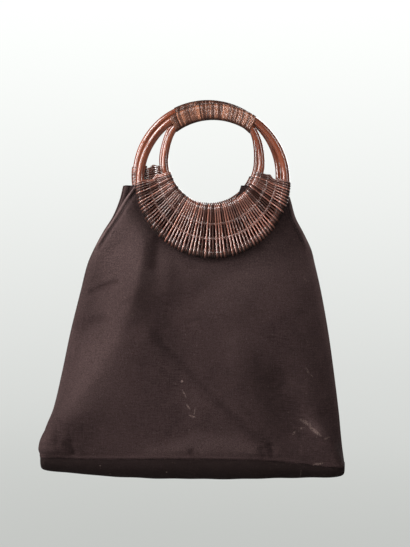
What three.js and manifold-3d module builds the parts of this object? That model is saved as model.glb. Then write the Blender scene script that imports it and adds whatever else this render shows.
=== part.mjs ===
// Canvas handbag with two round cane handles, modelled as it hangs from its grips.
// Millimetres, +Z up, the front faces -Y.
// The origin is midway between the two handles, level with the underside of the front grip.
import * as THREE from "three";
import { mergeVertices } from "three/addons/utils/BufferGeometryUtils.js";
import Module from "manifold-3d";

// Clearance between pieces that touch
const CLEARANCE = 0.3;

// Handle: an outer cane ring and a smaller inner ring, bound together along the grip
const OUTER_RING_RADIUS = 85.4;
const OUTER_CANE = 9.2;
const INNER_RING_RADIUS = 56.6;
const INNER_CANE = 8.4;
const BOUND_GAP = 0.5;
const GRIP_ANGLE = 67;
const BOUND_ANGLE = 71;
const GRIP_WALL = 0.6;
const SHOULDER_REACH = 10;

// Woven crescent between the lower arcs of the two rings
const FRONT_CRESCENT_DEPTH = 51.9;
const BACK_CRESCENT_DEPTH = 47.9;
const OUTER_WOUND_ANGLE = 180;
const INNER_WOUND_ANGLE = 150;
const WINDING_WALL = 1.6;
const WEB_THICKNESS = 3.6;
const CORE_CANE = 3.2;
const GAP_COUNT = 30;
const GAP_SHARE = 0.42;

// The back handle hangs a little to the left, higher, and turned about its own axis
const BACK_HANDLE_LEFT = 5.9;
const BACK_HANDLE_RISE = 7;
const BACK_HANDLE_ROLL = 7.5;

// Canvas body
const CANVAS = 1.5;
const TOP_EDGE_BELOW_RING_CENTRE = 6.2;
const PANEL_HEIGHT = 318.5;
const BOTTOM_WIDTH = 360;
const BOTTOM_DEPTH = 60;
const TOP_DEPTH = 16;
const GUSSET_SAG = 26.5;
const BACK_PANEL_LEAN = 14;
const BACK_PANEL_RISE = 2.2;
const SCOOP_ABOVE_RING_CENTRE = 5.4;
const FRONT_SCOOP_RADIUS = 48.4;
const BACK_SCOOP_RADIUS = 42.2;
const BACK_SCOOP_LEFT = 7.7;

// How finely the curved pieces are faceted
const CANE_SIDES = 8;
const OUTER_RING_STEPS = 36;
const INNER_RING_STEPS = 32;
const GRIP_END_SIDES = 5;
const SCOOP_SIDES = 40;
const PANEL_COLUMNS = 18;
const PANEL_ROWS = 16;
const GUSSET_ROWS = 6;
const COLUMN_CROWDING = 0.25;
const MITRE_LIMIT = 2;
const SAME_POINT = 1e-3;

// Sections of the canvas body from the top edge (drop 0) to the bottom seam (drop 1).
// left and right: distance of the side edges from the handle's middle, as shares of BOTTOM_WIDTH
// depth: 0 at the depth of the mouth, 1 at the depth of the bottom
// gape: how far the side slit stands open, as a share of the mouth's depth
// fold and corner: where the soft corner fold runs, as shares of the cloth's and the bag's half width
// lean: how far the back panel stands to the left of the front one, as a share of BACK_PANEL_LEAN
const SECTIONS = [
  { drop: 0.0, left: 0.258, right: 0.241, depth: 0, gape: 0.93, fold: 0.55, corner: 0.55, lean: 1 },
  { drop: 0.053, left: 0.292, right: 0.255, depth: 0, gape: 0.8, fold: 0.55, corner: 0.55, lean: 0.42 },
  { drop: 0.115, left: 0.325, right: 0.271, depth: 0, gape: 0.5, fold: 0.55, corner: 0.55, lean: 0.14 },
  { drop: 0.17, left: 0.358, right: 0.297, depth: 0, gape: 0.22, fold: 0.55, corner: 0.55, lean: 0.06 },
  { drop: 0.234, left: 0.391, right: 0.323, depth: 0, gape: 0, fold: 0.55, corner: 0.55, lean: 0 },
  { drop: 0.291, left: 0.413, right: 0.336, depth: 0.02, gape: 0, fold: 0.55, corner: 0.55, lean: 0 },
  { drop: 0.383, left: 0.434, right: 0.355, depth: 0.12, gape: 0, fold: 0.555, corner: 0.56, lean: 0 },
  { drop: 0.537, left: 0.468, right: 0.38, depth: 0.33, gape: 0, fold: 0.6, corner: 0.61, lean: 0 },
  { drop: 0.687, left: 0.496, right: 0.399, depth: 0.55, gape: 0, fold: 0.68, corner: 0.7, lean: 0 },
  { drop: 0.819, left: 0.524, right: 0.414, depth: 0.76, gape: 0, fold: 0.77, corner: 0.81, lean: 0 },
  { drop: 0.888, left: 0.549, right: 0.42, depth: 0.86, gape: 0, fold: 0.82, corner: 0.88, lean: 0 },
  { drop: 0.943, left: 0.564, right: 0.4255, depth: 0.94, gape: 0, fold: 0.85, corner: 0.94, lean: 0 },
  { drop: 1.0, left: 0.567, right: 0.433, depth: 1, gape: 0, fold: 0.856, corner: 0.985, lean: 0 },
];

// The bottom along its width, from the left end (-1) to the right end (1).
// low: how much lower than the panel height the seam hangs, as a share of PANEL_HEIGHT
// sag: how deep the gusset hangs below the seam, as a share of GUSSET_SAG
const BOTTOM = [
  { along: -1, low: 0.004, sag: 0.4 },
  { along: -0.8, low: -0.004, sag: 0.69 },
  { along: -0.6, low: 0, sag: 0.79 },
  { along: -0.4, low: 0, sag: 0.92 },
  { along: 0, low: 0, sag: 1 },
  { along: 0.4, low: 0.006, sag: 0.9 },
  { along: 0.62, low: 0.018, sag: 0.71 },
  { along: 0.78, low: 0.031, sag: 0.53 },
  { along: 1, low: 0.03, sag: 0.35 },
];

// Soft ridges (height above 0) and dents (below 0) of the canvas, each along a line across one panel.
// s runs from the left side seam (-1) to the right one (1), drop from the top edge (0) to the seam (1).
// height is a share of the bag's bottom depth, width a share of its bottom width
const FOLDS = [
  { panel: "front", s0: -0.38, drop0: 0.56, s1: 0.5, drop1: 0.95, height: 0.035, width: 0.05 },
  { panel: "front", s0: 0.62, drop0: 0.84, s1: 0.7, drop1: 0.93, height: -0.05, width: 0.06 },
  { panel: "front", s0: -0.2, drop0: 0.4, s1: -0.1, drop1: 0.75, height: -0.03, width: 0.11 },
  { panel: "front", s0: 0.45, drop0: 0.4, s1: 0.62, drop1: 0.7, height: -0.03, width: 0.09 },
  { panel: "back", s0: 0.4, drop0: 0.5, s1: -0.45, drop1: 0.92, height: 0.035, width: 0.05 },
  { panel: "back", s0: -0.1, drop0: 0.4, s1: 0.1, drop1: 0.75, height: -0.03, width: 0.12 },
];
const CORNER_SOFTNESS = 5;
const FOLD_FADE = 10;
const GUSSET_FULLNESS = 0.85;

// Colours and finishes
const CANVAS_FINISH = { color: 0x5c4c49, roughness: 0.95, metalness: 0 };
const GUSSET_FINISH = { color: 0x2e2524, roughness: 0.95, metalness: 0 };
const CANE_FINISH = { color: 0x8a4a2c, roughness: 0.35, metalness: 0 };
const WICKER_FINISH = { color: 0x74462f, roughness: 0.6, metalness: 0 };
const GRIP_FINISH = { color: 0x8c5c48, roughness: 0.4, metalness: 0 };

// Sizes that follow from those above
const RING_SPACING = (OUTER_CANE + INNER_CANE) / 2 + BOUND_GAP;
const BOUND_RADIUS = OUTER_RING_RADIUS - RING_SPACING;
const GRIP_INSIDE = INNER_CANE / 2 + CLEARANCE;
const RING_CENTRE_Z = -(BOUND_RADIUS - GRIP_INSIDE - GRIP_WALL);
const OUTER_WINDING = OUTER_CANE / 2 + CLEARANCE + WINDING_WALL;
const INNER_WINDING = INNER_CANE / 2 + CLEARANCE + WINDING_WALL;
const HANDLE_Y = TOP_DEPTH / 2 + CLEARANCE + OUTER_WINDING;
const TOP_EDGE_Z = RING_CENTRE_Z - TOP_EDGE_BELOW_RING_CENTRE;
const SCOOP_Z = RING_CENTRE_Z + SCOOP_ABOVE_RING_CENTRE;

const wasm = await Module();
wasm.setup();

// A closed geometry from points and triangles, with points that coincide merged into one
function closedGeometry(points, faces) {
  const loose = new THREE.BufferGeometry().setFromPoints(points);
  loose.setIndex(faces);
  const merged = mergeVertices(loose, SAME_POINT);
  const index = [];
  for (let i = 0; i < merged.index.count; i += 3) {
    const [a, b, c] = [0, 1, 2].map((k) => merged.index.getX(i + k));
    if (a !== b && b !== c && c !== a) index.push(a, b, c);
  }
  merged.setIndex(index);
  merged.computeVertexNormals();
  return merged;
}

// A solid for cutting and joining, from a closed geometry
function solidOf(geometry) {
  const bare = geometry.clone();
  bare.deleteAttribute("normal");
  bare.deleteAttribute("uv");
  const merged = mergeVertices(bare, SAME_POINT);
  return new wasm.Manifold(
    new wasm.Mesh({
      numProp: 3,
      vertProperties: merged.attributes.position.array,
      triVerts: new Uint32Array(merged.index.array),
    }),
  );
}

// A geometry from a solid that was cut or joined
function geometryOf(solid) {
  const mesh = solid.getMesh();
  const geometry = new THREE.BufferGeometry();
  geometry.setAttribute("position", new THREE.BufferAttribute(mesh.vertProperties, 3));
  geometry.setIndex(new THREE.BufferAttribute(mesh.triVerts, 1));
  geometry.computeVertexNormals();
  return geometry;
}

// A wall between two grids of points: outside holds rows of points seen from outside,
// running left to right and top to bottom, and inside the matching points behind them
function wall(outside, inside, mirrored = false) {
  const rows = outside.length - 1;
  const columns = outside[0].length - 1;
  const faces = [];
  const at = (layer, row, column) => (layer * (rows + 1) + row) * (columns + 1) + column;
  const quad = (a, b, c, d) => faces.push(...(mirrored ? [a, c, b, a, d, c] : [a, b, c, a, c, d]));
  for (let r = 0; r < rows; r++) {
    for (let c = 0; c < columns; c++) {
      quad(at(0, r, c), at(0, r + 1, c), at(0, r + 1, c + 1), at(0, r, c + 1));
      quad(at(1, r, c), at(1, r, c + 1), at(1, r + 1, c + 1), at(1, r + 1, c));
    }
  }
  for (let c = 0; c < columns; c++) {
    quad(at(0, 0, c), at(0, 0, c + 1), at(1, 0, c + 1), at(1, 0, c));
    quad(at(0, rows, c), at(1, rows, c), at(1, rows, c + 1), at(0, rows, c + 1));
  }
  for (let r = 0; r < rows; r++) {
    quad(at(0, r + 1, 0), at(0, r, 0), at(1, r, 0), at(1, r + 1, 0));
    quad(at(0, r, columns), at(0, r + 1, columns), at(1, r + 1, columns), at(1, r, columns));
  }
  return closedGeometry([...outside.flat(), ...inside.flat()], faces);
}

// A body through a row of loops of points, closed into a ring or capped at both ends
function loft(loops, ring = false) {
  const sides = loops[0].length;
  const faces = [];
  const spans = ring ? loops.length : loops.length - 1;
  for (let i = 0; i < spans; i++) {
    const here = i * sides;
    const next = ((i + 1) % loops.length) * sides;
    for (let k = 0; k < sides; k++) {
      const turn = (k + 1) % sides;
      faces.push(here + k, next + turn, next + k, here + k, here + turn, next + turn);
    }
  }
  if (!ring) {
    const last = (loops.length - 1) * sides;
    for (let k = 1; k < sides - 1; k++) {
      faces.push(0, k + 1, k, last, last + k, last + k + 1);
    }
  }
  return closedGeometry(loops.flat(), faces);
}

// The value of one column of a table at a place between its rows, on a smooth curve through them
function tableAt(table, placeKey, key, place) {
  const last = table.length - 1;
  let i = 0;
  while (i < last - 1 && table[i + 1][placeKey] < place) i++;
  const slope = (k) => {
    const before = table[Math.max(k - 1, 0)];
    const after = table[Math.min(k + 1, last)];
    return (after[key] - before[key]) / (after[placeKey] - before[placeKey]);
  };
  const span = table[i + 1][placeKey] - table[i][placeKey];
  const t = THREE.MathUtils.clamp((place - table[i][placeKey]) / span, 0, 1);
  const rise = t * t * (3 - 2 * t);
  const leave = t * (1 - t) * (1 - t) * span * slope(i);
  const arrive = -t * t * (1 - t) * span * slope(i + 1);
  return table[i][key] * (1 - rise) + table[i + 1][key] * rise + leave + arrive;
}

// Rings: centrelines are closed rows of points in the handle's plane, x across and y up,
// from the bottom round to the right, about the middle of the outer ring
const outerCentreline = new THREE.Path()
  .absarc(0, 0, OUTER_RING_RADIUS, -Math.PI / 2, (3 * Math.PI) / 2, false)
  .getSpacedPoints(OUTER_RING_STEPS)
  .slice(0, OUTER_RING_STEPS);

function innerRingCentreline(level) {
  const half = THREE.MathUtils.degToRad(BOUND_ANGLE / 2);
  const x = BOUND_RADIUS * Math.sin(half);
  const y = BOUND_RADIUS * Math.cos(half);
  const along = new THREE.Vector2(Math.cos(half), -Math.sin(half)).multiplyScalar(SHOULDER_REACH);
  const side = INNER_RING_RADIUS;
  const path = new THREE.Path();
  path.absarc(0, level, side, -Math.PI / 2, 0, false);
  path.bezierCurveTo(side, level + SHOULDER_REACH, x + along.x, y + along.y, x, y);
  path.absarc(0, 0, BOUND_RADIUS, Math.PI / 2 - half, Math.PI / 2 + half, false);
  path.bezierCurveTo(-x - along.x, y + along.y, -side, level + SHOULDER_REACH, -side, level);
  path.absarc(0, level, side, Math.PI, (3 * Math.PI) / 2, false);
  return path.getSpacedPoints(INNER_RING_STEPS).slice(0, INNER_RING_STEPS);
}

// What sets one handle's crescent apart: the inner ring's centreline and how far it is raised
function crescentForm(depth) {
  const raise = depth - OUTER_RING_RADIUS + INNER_RING_RADIUS;
  return { raise, innerCentreline: innerRingCentreline(raise) };
}

function lengthOf(centreline) {
  return centreline.reduce((sum, p, i) => sum + p.distanceTo(centreline[(i + 1) % centreline.length]), 0);
}

// The stretch of a centreline between two distances from its first point, which may be negative
function stretch(centreline, from, to) {
  const count = centreline.length;
  const points = [];
  let place = -lengthOf(centreline);
  for (let i = 0; place < to; i++) {
    const a = centreline[i % count];
    const b = centreline[(i + 1) % count];
    const step = a.distanceTo(b);
    if (place <= from && from < place + step) points.push(a.clone().lerp(b, (from - place) / step));
    if (place > from + SAME_POINT) points.push(a.clone());
    if (place + step >= to) points.push(a.clone().lerp(b, (to - place) / step));
    place += step;
  }
  return points;
}

// The direction out of the ring at each point of a centreline or stretch, long enough for a mitre
function outwards(points, ring) {
  const last = points.length - 1;
  return points.map((p, i) => {
    const before = points[ring ? (i + last) % points.length : Math.max(i - 1, 0)];
    const after = points[ring ? (i + 1) % points.length : Math.min(i + 1, last)];
    const arriving = p.clone().sub(before).normalize();
    const leaving = after.clone().sub(p).normalize();
    const along = arriving.clone().add(leaving).normalize();
    const mitre = 1 / Math.max(along.dot(ring || i > 0 ? arriving : leaving), 1 / MITRE_LIMIT);
    return new THREE.Vector2(along.y, -along.x).multiplyScalar(mitre);
  });
}

// A round cane or winding of one radius along a centreline or a stretch of it
function cane(points, radius, ring = false) {
  const out = outwards(points, ring);
  const loops = points.map((p, i) =>
    Array.from({ length: CANE_SIDES }, (_, k) => {
      const angle = (2 * Math.PI * (k + 0.5)) / CANE_SIDES;
      const reach = radius * Math.cos(angle);
      return new THREE.Vector3(p.x + out[i].x * reach, radius * Math.sin(angle), p.y + out[i].y * reach);
    }),
  );
  return loft(loops, ring);
}

function degreesAlong(radius, degrees) {
  return radius * THREE.MathUtils.degToRad(degrees);
}

// The wound lower stretch of each ring
function woundStretches(form, spare = 0) {
  const outerHalf = (lengthOf(outerCentreline) * OUTER_WOUND_ANGLE) / 360 / 2 + spare;
  const innerHalf = degreesAlong(INNER_RING_RADIUS, INNER_WOUND_ANGLE / 2) + spare;
  return {
    outer: stretch(outerCentreline, -outerHalf, outerHalf),
    inner: stretch(form.innerCentreline, -innerHalf, innerHalf),
  };
}

// A point on one strand of the weave: u runs from the left end (-1) to the right end (1),
// and distance runs out from the middle of the inner ring's cane
function strandPoint(form, u, distanceOf) {
  const innerAngle = THREE.MathUtils.degToRad((u * INNER_WOUND_ANGLE) / 2);
  const outerAngle = THREE.MathUtils.degToRad((u * OUTER_WOUND_ANGLE) / 2);
  const start = new THREE.Vector2(
    INNER_RING_RADIUS * Math.sin(innerAngle),
    form.raise - INNER_RING_RADIUS * Math.cos(innerAngle),
  );
  const end = new THREE.Vector2(
    OUTER_RING_RADIUS * Math.sin(outerAngle),
    -OUTER_RING_RADIUS * Math.cos(outerAngle),
  );
  const length = start.distanceTo(end);
  return start.lerp(end, distanceOf(length) / length);
}

// The two rows of gaps between strands, each between one core cane and the next, or the outer winding
const GAP_ROWS = [
  {
    from: (length) => length / 3 + CORE_CANE / 2,
    to: (length) => (2 * length) / 3 - CORE_CANE / 2,
  },
  {
    from: (length) => (2 * length) / 3 + CORE_CANE / 2,
    to: (length) => Math.max(length - OUTER_WINDING, (2 * length) / 3 + CORE_CANE),
  },
];

// A flat plate of the web's plane through one outline, centred on the rings' plane
function plateOf(outline, thickness) {
  const plate = new THREE.ExtrudeGeometry(new THREE.Shape(outline), {
    depth: thickness,
    bevelEnabled: false,
  });
  return solidOf(plate.translate(0, 0, -thickness / 2).rotateX(Math.PI / 2));
}

function weaveGap(form, row, index) {
  const cell = 2 / GAP_COUNT;
  const middle = -1 + cell * (index + 0.5);
  const half = (cell * GAP_SHARE) / 2;
  const outline = [
    strandPoint(form, middle - half, row.from),
    strandPoint(form, middle - half, row.to),
    strandPoint(form, middle + half, row.to),
    strandPoint(form, middle + half, row.from),
  ];
  return plateOf(outline, 2 * WEB_THICKNESS);
}

// Cane strands woven from ring to ring, with the windings that hold them round both rings
function wovenCrescent(form) {
  const { outer, inner } = woundStretches(form);
  let web = plateOf([...outer, ...inner.slice().reverse()], WEB_THICKNESS);
  for (const row of GAP_ROWS) {
    for (let i = 0; i < GAP_COUNT; i++) web = web.subtract(weaveGap(form, row, i));
  }
  const bore = woundStretches(form, OUTER_CANE);
  const woven = web
    .add(solidOf(cane(outer, OUTER_WINDING)))
    .add(solidOf(cane(inner, INNER_WINDING)))
    .subtract(solidOf(cane(bore.outer, OUTER_CANE / 2 + CLEARANCE)))
    .subtract(solidOf(cane(bore.inner, INNER_CANE / 2 + CLEARANCE)));
  return geometryOf(woven);
}

// One loop of the grip's section: round over the outer cane, round under the inner one
function gripLoop(p, out, spare) {
  const ends = [
    { reach: 0, radius: OUTER_CANE / 2 + spare, start: -90 },
    { reach: -RING_SPACING, radius: INNER_CANE / 2 + spare, start: 90 },
  ];
  return ends.flatMap(({ reach, radius, start }) =>
    Array.from({ length: GRIP_END_SIDES + 1 }, (_, k) => {
      const angle = THREE.MathUtils.degToRad(start + (180 * k) / GRIP_END_SIDES);
      const outward = reach + radius * Math.cos(angle);
      return new THREE.Vector3(p.x + out.x * outward, radius * Math.sin(angle), p.y + out.y * outward);
    }),
  );
}

// Flat cane wound round both rings over the top of the handle, with the rings free inside it
function gripWrap() {
  const round = lengthOf(outerCentreline);
  const half = (round * GRIP_ANGLE) / 360 / 2;
  const points = stretch(outerCentreline, round / 2 - half, round / 2 + half);
  const out = outwards(points, false);
  const shellOf = (spare) => loft(points.map((p, i) => gripLoop(p, out[i], spare)));
  const longer = stretch(outerCentreline, round / 2 - half - OUTER_CANE, round / 2 + half + OUTER_CANE);
  const outLonger = outwards(longer, false);
  const bore = loft(longer.map((p, i) => gripLoop(p, outLonger[i], CLEARANCE)));
  return geometryOf(solidOf(shellOf(CLEARANCE + GRIP_WALL)).subtract(solidOf(bore)));
}

// min(t, 1) with a rounded corner
function softCorner(t) {
  return t / (1 + t ** CORNER_SOFTNESS) ** (1 / CORNER_SOFTNESS);
}

// The canvas body's level section at a drop, with every length worked out
function sectionAt(drop) {
  const row = (key) => tableAt(SECTIONS, "drop", key, drop);
  const left = row("left") * BOTTOM_WIDTH;
  const right = row("right") * BOTTOM_WIDTH;
  const half = (left + right) / 2;
  const depth = THREE.MathUtils.lerp(TOP_DEPTH / 2, BOTTOM_DEPTH / 2, row("depth"));
  const sideRun = new THREE.Vector2((1 - row("corner")) * half, depth).normalize();
  const seam = CLEARANCE / 2 + CANVAS * sideRun.x;
  return {
    centre: (right - left) / 2,
    half,
    depth,
    edge: Math.max((row("gape") * TOP_DEPTH) / 2, seam),
    fold: row("fold"),
    corner: row("corner"),
    lean: row("lean") * BACK_PANEL_LEAN,
    sideRun,
  };
}

// A point of a section: s runs from the left edge (-1) to the right edge (1), inset goes into the wall.
// It gives the place across the bag, how far that is from the bag's middle plane,
// and how near the point is to the open middle of the panel (1) rather than its side edge (0)
function sectionPoint(section, s, inset) {
  const half = section.half - inset * section.sideRun.y;
  const depth = section.depth - inset;
  const edge = section.edge - inset * section.sideRun.x;
  const q = (1 - Math.abs(s)) / (1 - section.fold);
  const open = softCorner(q) / softCorner(1 / (1 - section.fold));
  const flat = (q - open) * ((1 - section.fold) / section.fold);
  const share = 1 - (1 - section.corner) * open - section.corner * flat;
  return {
    x: section.centre + Math.sign(s) * half * share,
    y: edge + (depth - edge) * open,
    open,
  };
}

function columnPlaces() {
  return Array.from({ length: PANEL_COLUMNS + 1 }, (_, i) => {
    const t = (2 * i) / PANEL_COLUMNS - 1;
    return t * (1 + COLUMN_CROWDING * (1 - Math.abs(t)));
  });
}

function seamZ(s) {
  return TOP_EDGE_Z - PANEL_HEIGHT * (1 + tableAt(BOTTOM, "along", "low", s));
}

// How far the folds push a point of one panel out, with nothing at the seams
function foldHeight(panel, s, drop) {
  const across = BOTTOM_WIDTH / 2;
  const place = new THREE.Vector2(s * across, -drop * PANEL_HEIGHT);
  const fade = 1 - drop ** FOLD_FADE;
  return FOLDS.filter((fold) => fold.panel === panel).reduce((sum, fold) => {
    const start = new THREE.Vector2(fold.s0 * across, -fold.drop0 * PANEL_HEIGHT);
    const end = new THREE.Vector2(fold.s1 * across, -fold.drop1 * PANEL_HEIGHT);
    const run = end.clone().sub(start);
    const along = THREE.MathUtils.clamp(place.clone().sub(start).dot(run) / run.lengthSq(), 0, 1);
    const away = place.distanceTo(start.addScaledVector(run, along)) / (fold.width * BOTTOM_WIDTH);
    return sum + fold.height * BOTTOM_DEPTH * fade * Math.exp(-away * away);
  }, 0);
}

// One canvas panel, with a scoop cut out of its top edge below the opening of the inner ring
function canvasPanel({ panel, side, rise, scoopX, scoopRadius }) {
  const gridOf = (inset) =>
    Array.from({ length: PANEL_ROWS + 1 }, (_, r) => {
      const drop = r / PANEL_ROWS;
      const section = sectionAt(drop);
      return columnPlaces().map((s) => {
        const { x, y, open } = sectionPoint(section, s, inset);
        const low = 1 + tableAt(BOTTOM, "along", "low", s) * drop;
        return new THREE.Vector3(
          x - (side > 0 ? section.lean : 0),
          side * (y + open * foldHeight(panel, s, drop)),
          TOP_EDGE_Z - PANEL_HEIGHT * drop * low + rise * (1 - drop),
        );
      });
    });
  const sheet = wall(gridOf(0), gridOf(CANVAS), side > 0);
  const scoop = new THREE.CylinderGeometry(scoopRadius, scoopRadius, BOTTOM_DEPTH, SCOOP_SIDES);
  scoop.translate(scoopX, (side * BOTTOM_DEPTH) / 2, SCOOP_Z);
  return geometryOf(solidOf(sheet).subtract(solidOf(scoop)));
}

// The bottom gusset: a strip that hangs in a hollow curve between the two panels' bottom seams
function baseGusset() {
  const bottom = sectionAt(1);
  const gridOf = (inset) =>
    Array.from({ length: GUSSET_ROWS + 1 }, (_, r) => {
      const angle = (Math.PI * r) / GUSSET_ROWS;
      const reach = -Math.sign(Math.cos(angle)) * Math.abs(Math.cos(angle)) ** GUSSET_FULLNESS;
      const hang = Math.sin(angle) ** GUSSET_FULLNESS;
      return columnPlaces().map((s) => {
        const { x, y } = sectionPoint(bottom, s, inset);
        const width = Math.abs(s) === 1 ? 0 : y;
        const round = Math.sqrt(1 - (1 - width / (bottom.depth - inset)) ** 2);
        const sag = (tableAt(BOTTOM, "along", "sag", s) * GUSSET_SAG - inset) * round;
        return new THREE.Vector3(x, reach * width, seamZ(s) - CLEARANCE - sag * hang);
      });
    });
  return wall(gridOf(0), gridOf(CANVAS));
}

function mesh(name, geometry, finish) {
  const made = new THREE.Mesh(geometry, new THREE.MeshStandardMaterial(finish));
  made.name = name;
  return made;
}

// One handle about the middle of its outer ring
function handle(side, crescentDepth) {
  const form = crescentForm(crescentDepth);
  const group = new THREE.Group();
  group.add(
    mesh(`${side}_outer_ring`, cane(outerCentreline, OUTER_CANE / 2, true), CANE_FINISH),
    mesh(`${side}_inner_ring`, cane(form.innerCentreline, INNER_CANE / 2, true), CANE_FINISH),
    mesh(`${side}_woven_crescent`, wovenCrescent(form), WICKER_FINISH),
    mesh(`${side}_grip_wrap`, gripWrap(), GRIP_FINISH),
  );
  return group;
}

const bag = new THREE.Group();

const frontHandle = handle("front", FRONT_CRESCENT_DEPTH);
frontHandle.position.set(0, -HANDLE_Y, RING_CENTRE_Z);

const backHandle = handle("back", BACK_CRESCENT_DEPTH);
backHandle.position.set(-BACK_HANDLE_LEFT, HANDLE_Y, RING_CENTRE_Z + BACK_HANDLE_RISE);
backHandle.rotation.y = THREE.MathUtils.degToRad(BACK_HANDLE_ROLL);

const frontPanel = canvasPanel({
  panel: "front",
  side: -1,
  rise: 0,
  scoopX: 0,
  scoopRadius: FRONT_SCOOP_RADIUS,
});
const backPanel = canvasPanel({
  panel: "back",
  side: 1,
  rise: BACK_PANEL_RISE,
  scoopX: -BACK_SCOOP_LEFT,
  scoopRadius: BACK_SCOOP_RADIUS,
});

bag.add(
  frontHandle,
  backHandle,
  mesh("front_panel", frontPanel, CANVAS_FINISH),
  mesh("back_panel", backPanel, CANVAS_FINISH),
  mesh("base_gusset", baseGusset(), GUSSET_FINISH),
);

export default bag;
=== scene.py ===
"""Canvas handbag with two round cane handles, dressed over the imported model.

Metres, +Z up, and the front faces -Y. The bag hangs from its two grips.
"""

import logging
import math
from dataclasses import dataclass, field
from enum import Enum, IntEnum
from typing import ClassVar

import bpy
import numpy as np
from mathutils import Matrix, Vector


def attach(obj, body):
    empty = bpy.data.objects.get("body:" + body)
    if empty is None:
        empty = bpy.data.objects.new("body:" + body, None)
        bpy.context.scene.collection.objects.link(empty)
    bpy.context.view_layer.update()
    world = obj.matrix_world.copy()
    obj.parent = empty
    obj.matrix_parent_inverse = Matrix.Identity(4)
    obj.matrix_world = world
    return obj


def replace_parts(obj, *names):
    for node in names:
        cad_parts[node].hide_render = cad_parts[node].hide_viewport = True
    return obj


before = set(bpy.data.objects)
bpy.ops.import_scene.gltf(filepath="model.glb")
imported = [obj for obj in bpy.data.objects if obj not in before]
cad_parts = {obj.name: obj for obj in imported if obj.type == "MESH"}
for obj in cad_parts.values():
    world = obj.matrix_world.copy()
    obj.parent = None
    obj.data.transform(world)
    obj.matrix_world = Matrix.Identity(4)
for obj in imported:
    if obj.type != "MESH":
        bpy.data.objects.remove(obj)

Array = np.ndarray
Socket = bpy.types.NodeSocket
Node = bpy.types.Node
NodeTree = bpy.types.NodeTree
Material = bpy.types.Material
Piece = bpy.types.Object
Colour = tuple[float, float, float, float]

LOG = logging.getLogger("handbag")
MM = 0.001
NEUTRAL = 0.5
FLOOR_Z = -0.62


class Side(Enum):
    """The two faces of the bag, with the direction of each along Y."""

    FRONT = -1
    BACK = 1


class Slot(Enum):
    """The record's material slots."""

    CANVAS = "canvas"
    GUSSET = "gusset_canvas"
    CANE = "cane"
    WICKER = "wicker"
    BINDING = "binding_cane"


class Layer(Enum):
    """Names of the coordinates and values that meshes carry for their finishes."""

    RUN = "run"
    TONE = "tone"
    WORN = "worn"


class Section(IntEnum):
    """Columns of the table of the body's level sections."""

    LEFT = 1
    RIGHT = 2
    DEPTH = 3
    GAPE = 4
    FOLD = 5
    CORNER = 6
    LEAN = 7


class Bottom(IntEnum):
    """Columns of the table of the bottom seam."""

    LOW = 1
    SAG = 2


@dataclass(frozen=True)
class HandleSizes:
    """Sizes of one handle, in metres, about the middle of its outer ring."""

    plane: float = 14.8 * MM
    outer_radius: float = 85.4 * MM
    outer_cane: float = 9.2 * MM
    inner_radius: float = 56.6 * MM
    inner_cane: float = 8.4 * MM
    bound_gap: float = 0.5 * MM
    grip_angle: float = math.radians(67)
    bound_angle: float = math.radians(71)
    grip_wall: float = 0.6 * MM
    shoulder_reach: float = 10 * MM
    outer_wound: float = math.radians(180)
    inner_wound: float = math.radians(150)
    clearance: float = 0.3 * MM

    @property
    def spacing(self) -> float:
        """Distance between the two canes along the grip."""
        return (self.outer_cane + self.inner_cane) / 2 + self.bound_gap

    @property
    def bound_radius(self) -> float:
        """Radius of the inner cane where it follows the outer one."""
        return self.outer_radius - self.spacing

    @property
    def centre_z(self) -> float:
        """Height of the front handle's middle in the frame."""
        return -(self.bound_radius - self.inner_cane / 2 - self.clearance - self.grip_wall)


HANDLE = HandleSizes()


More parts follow.
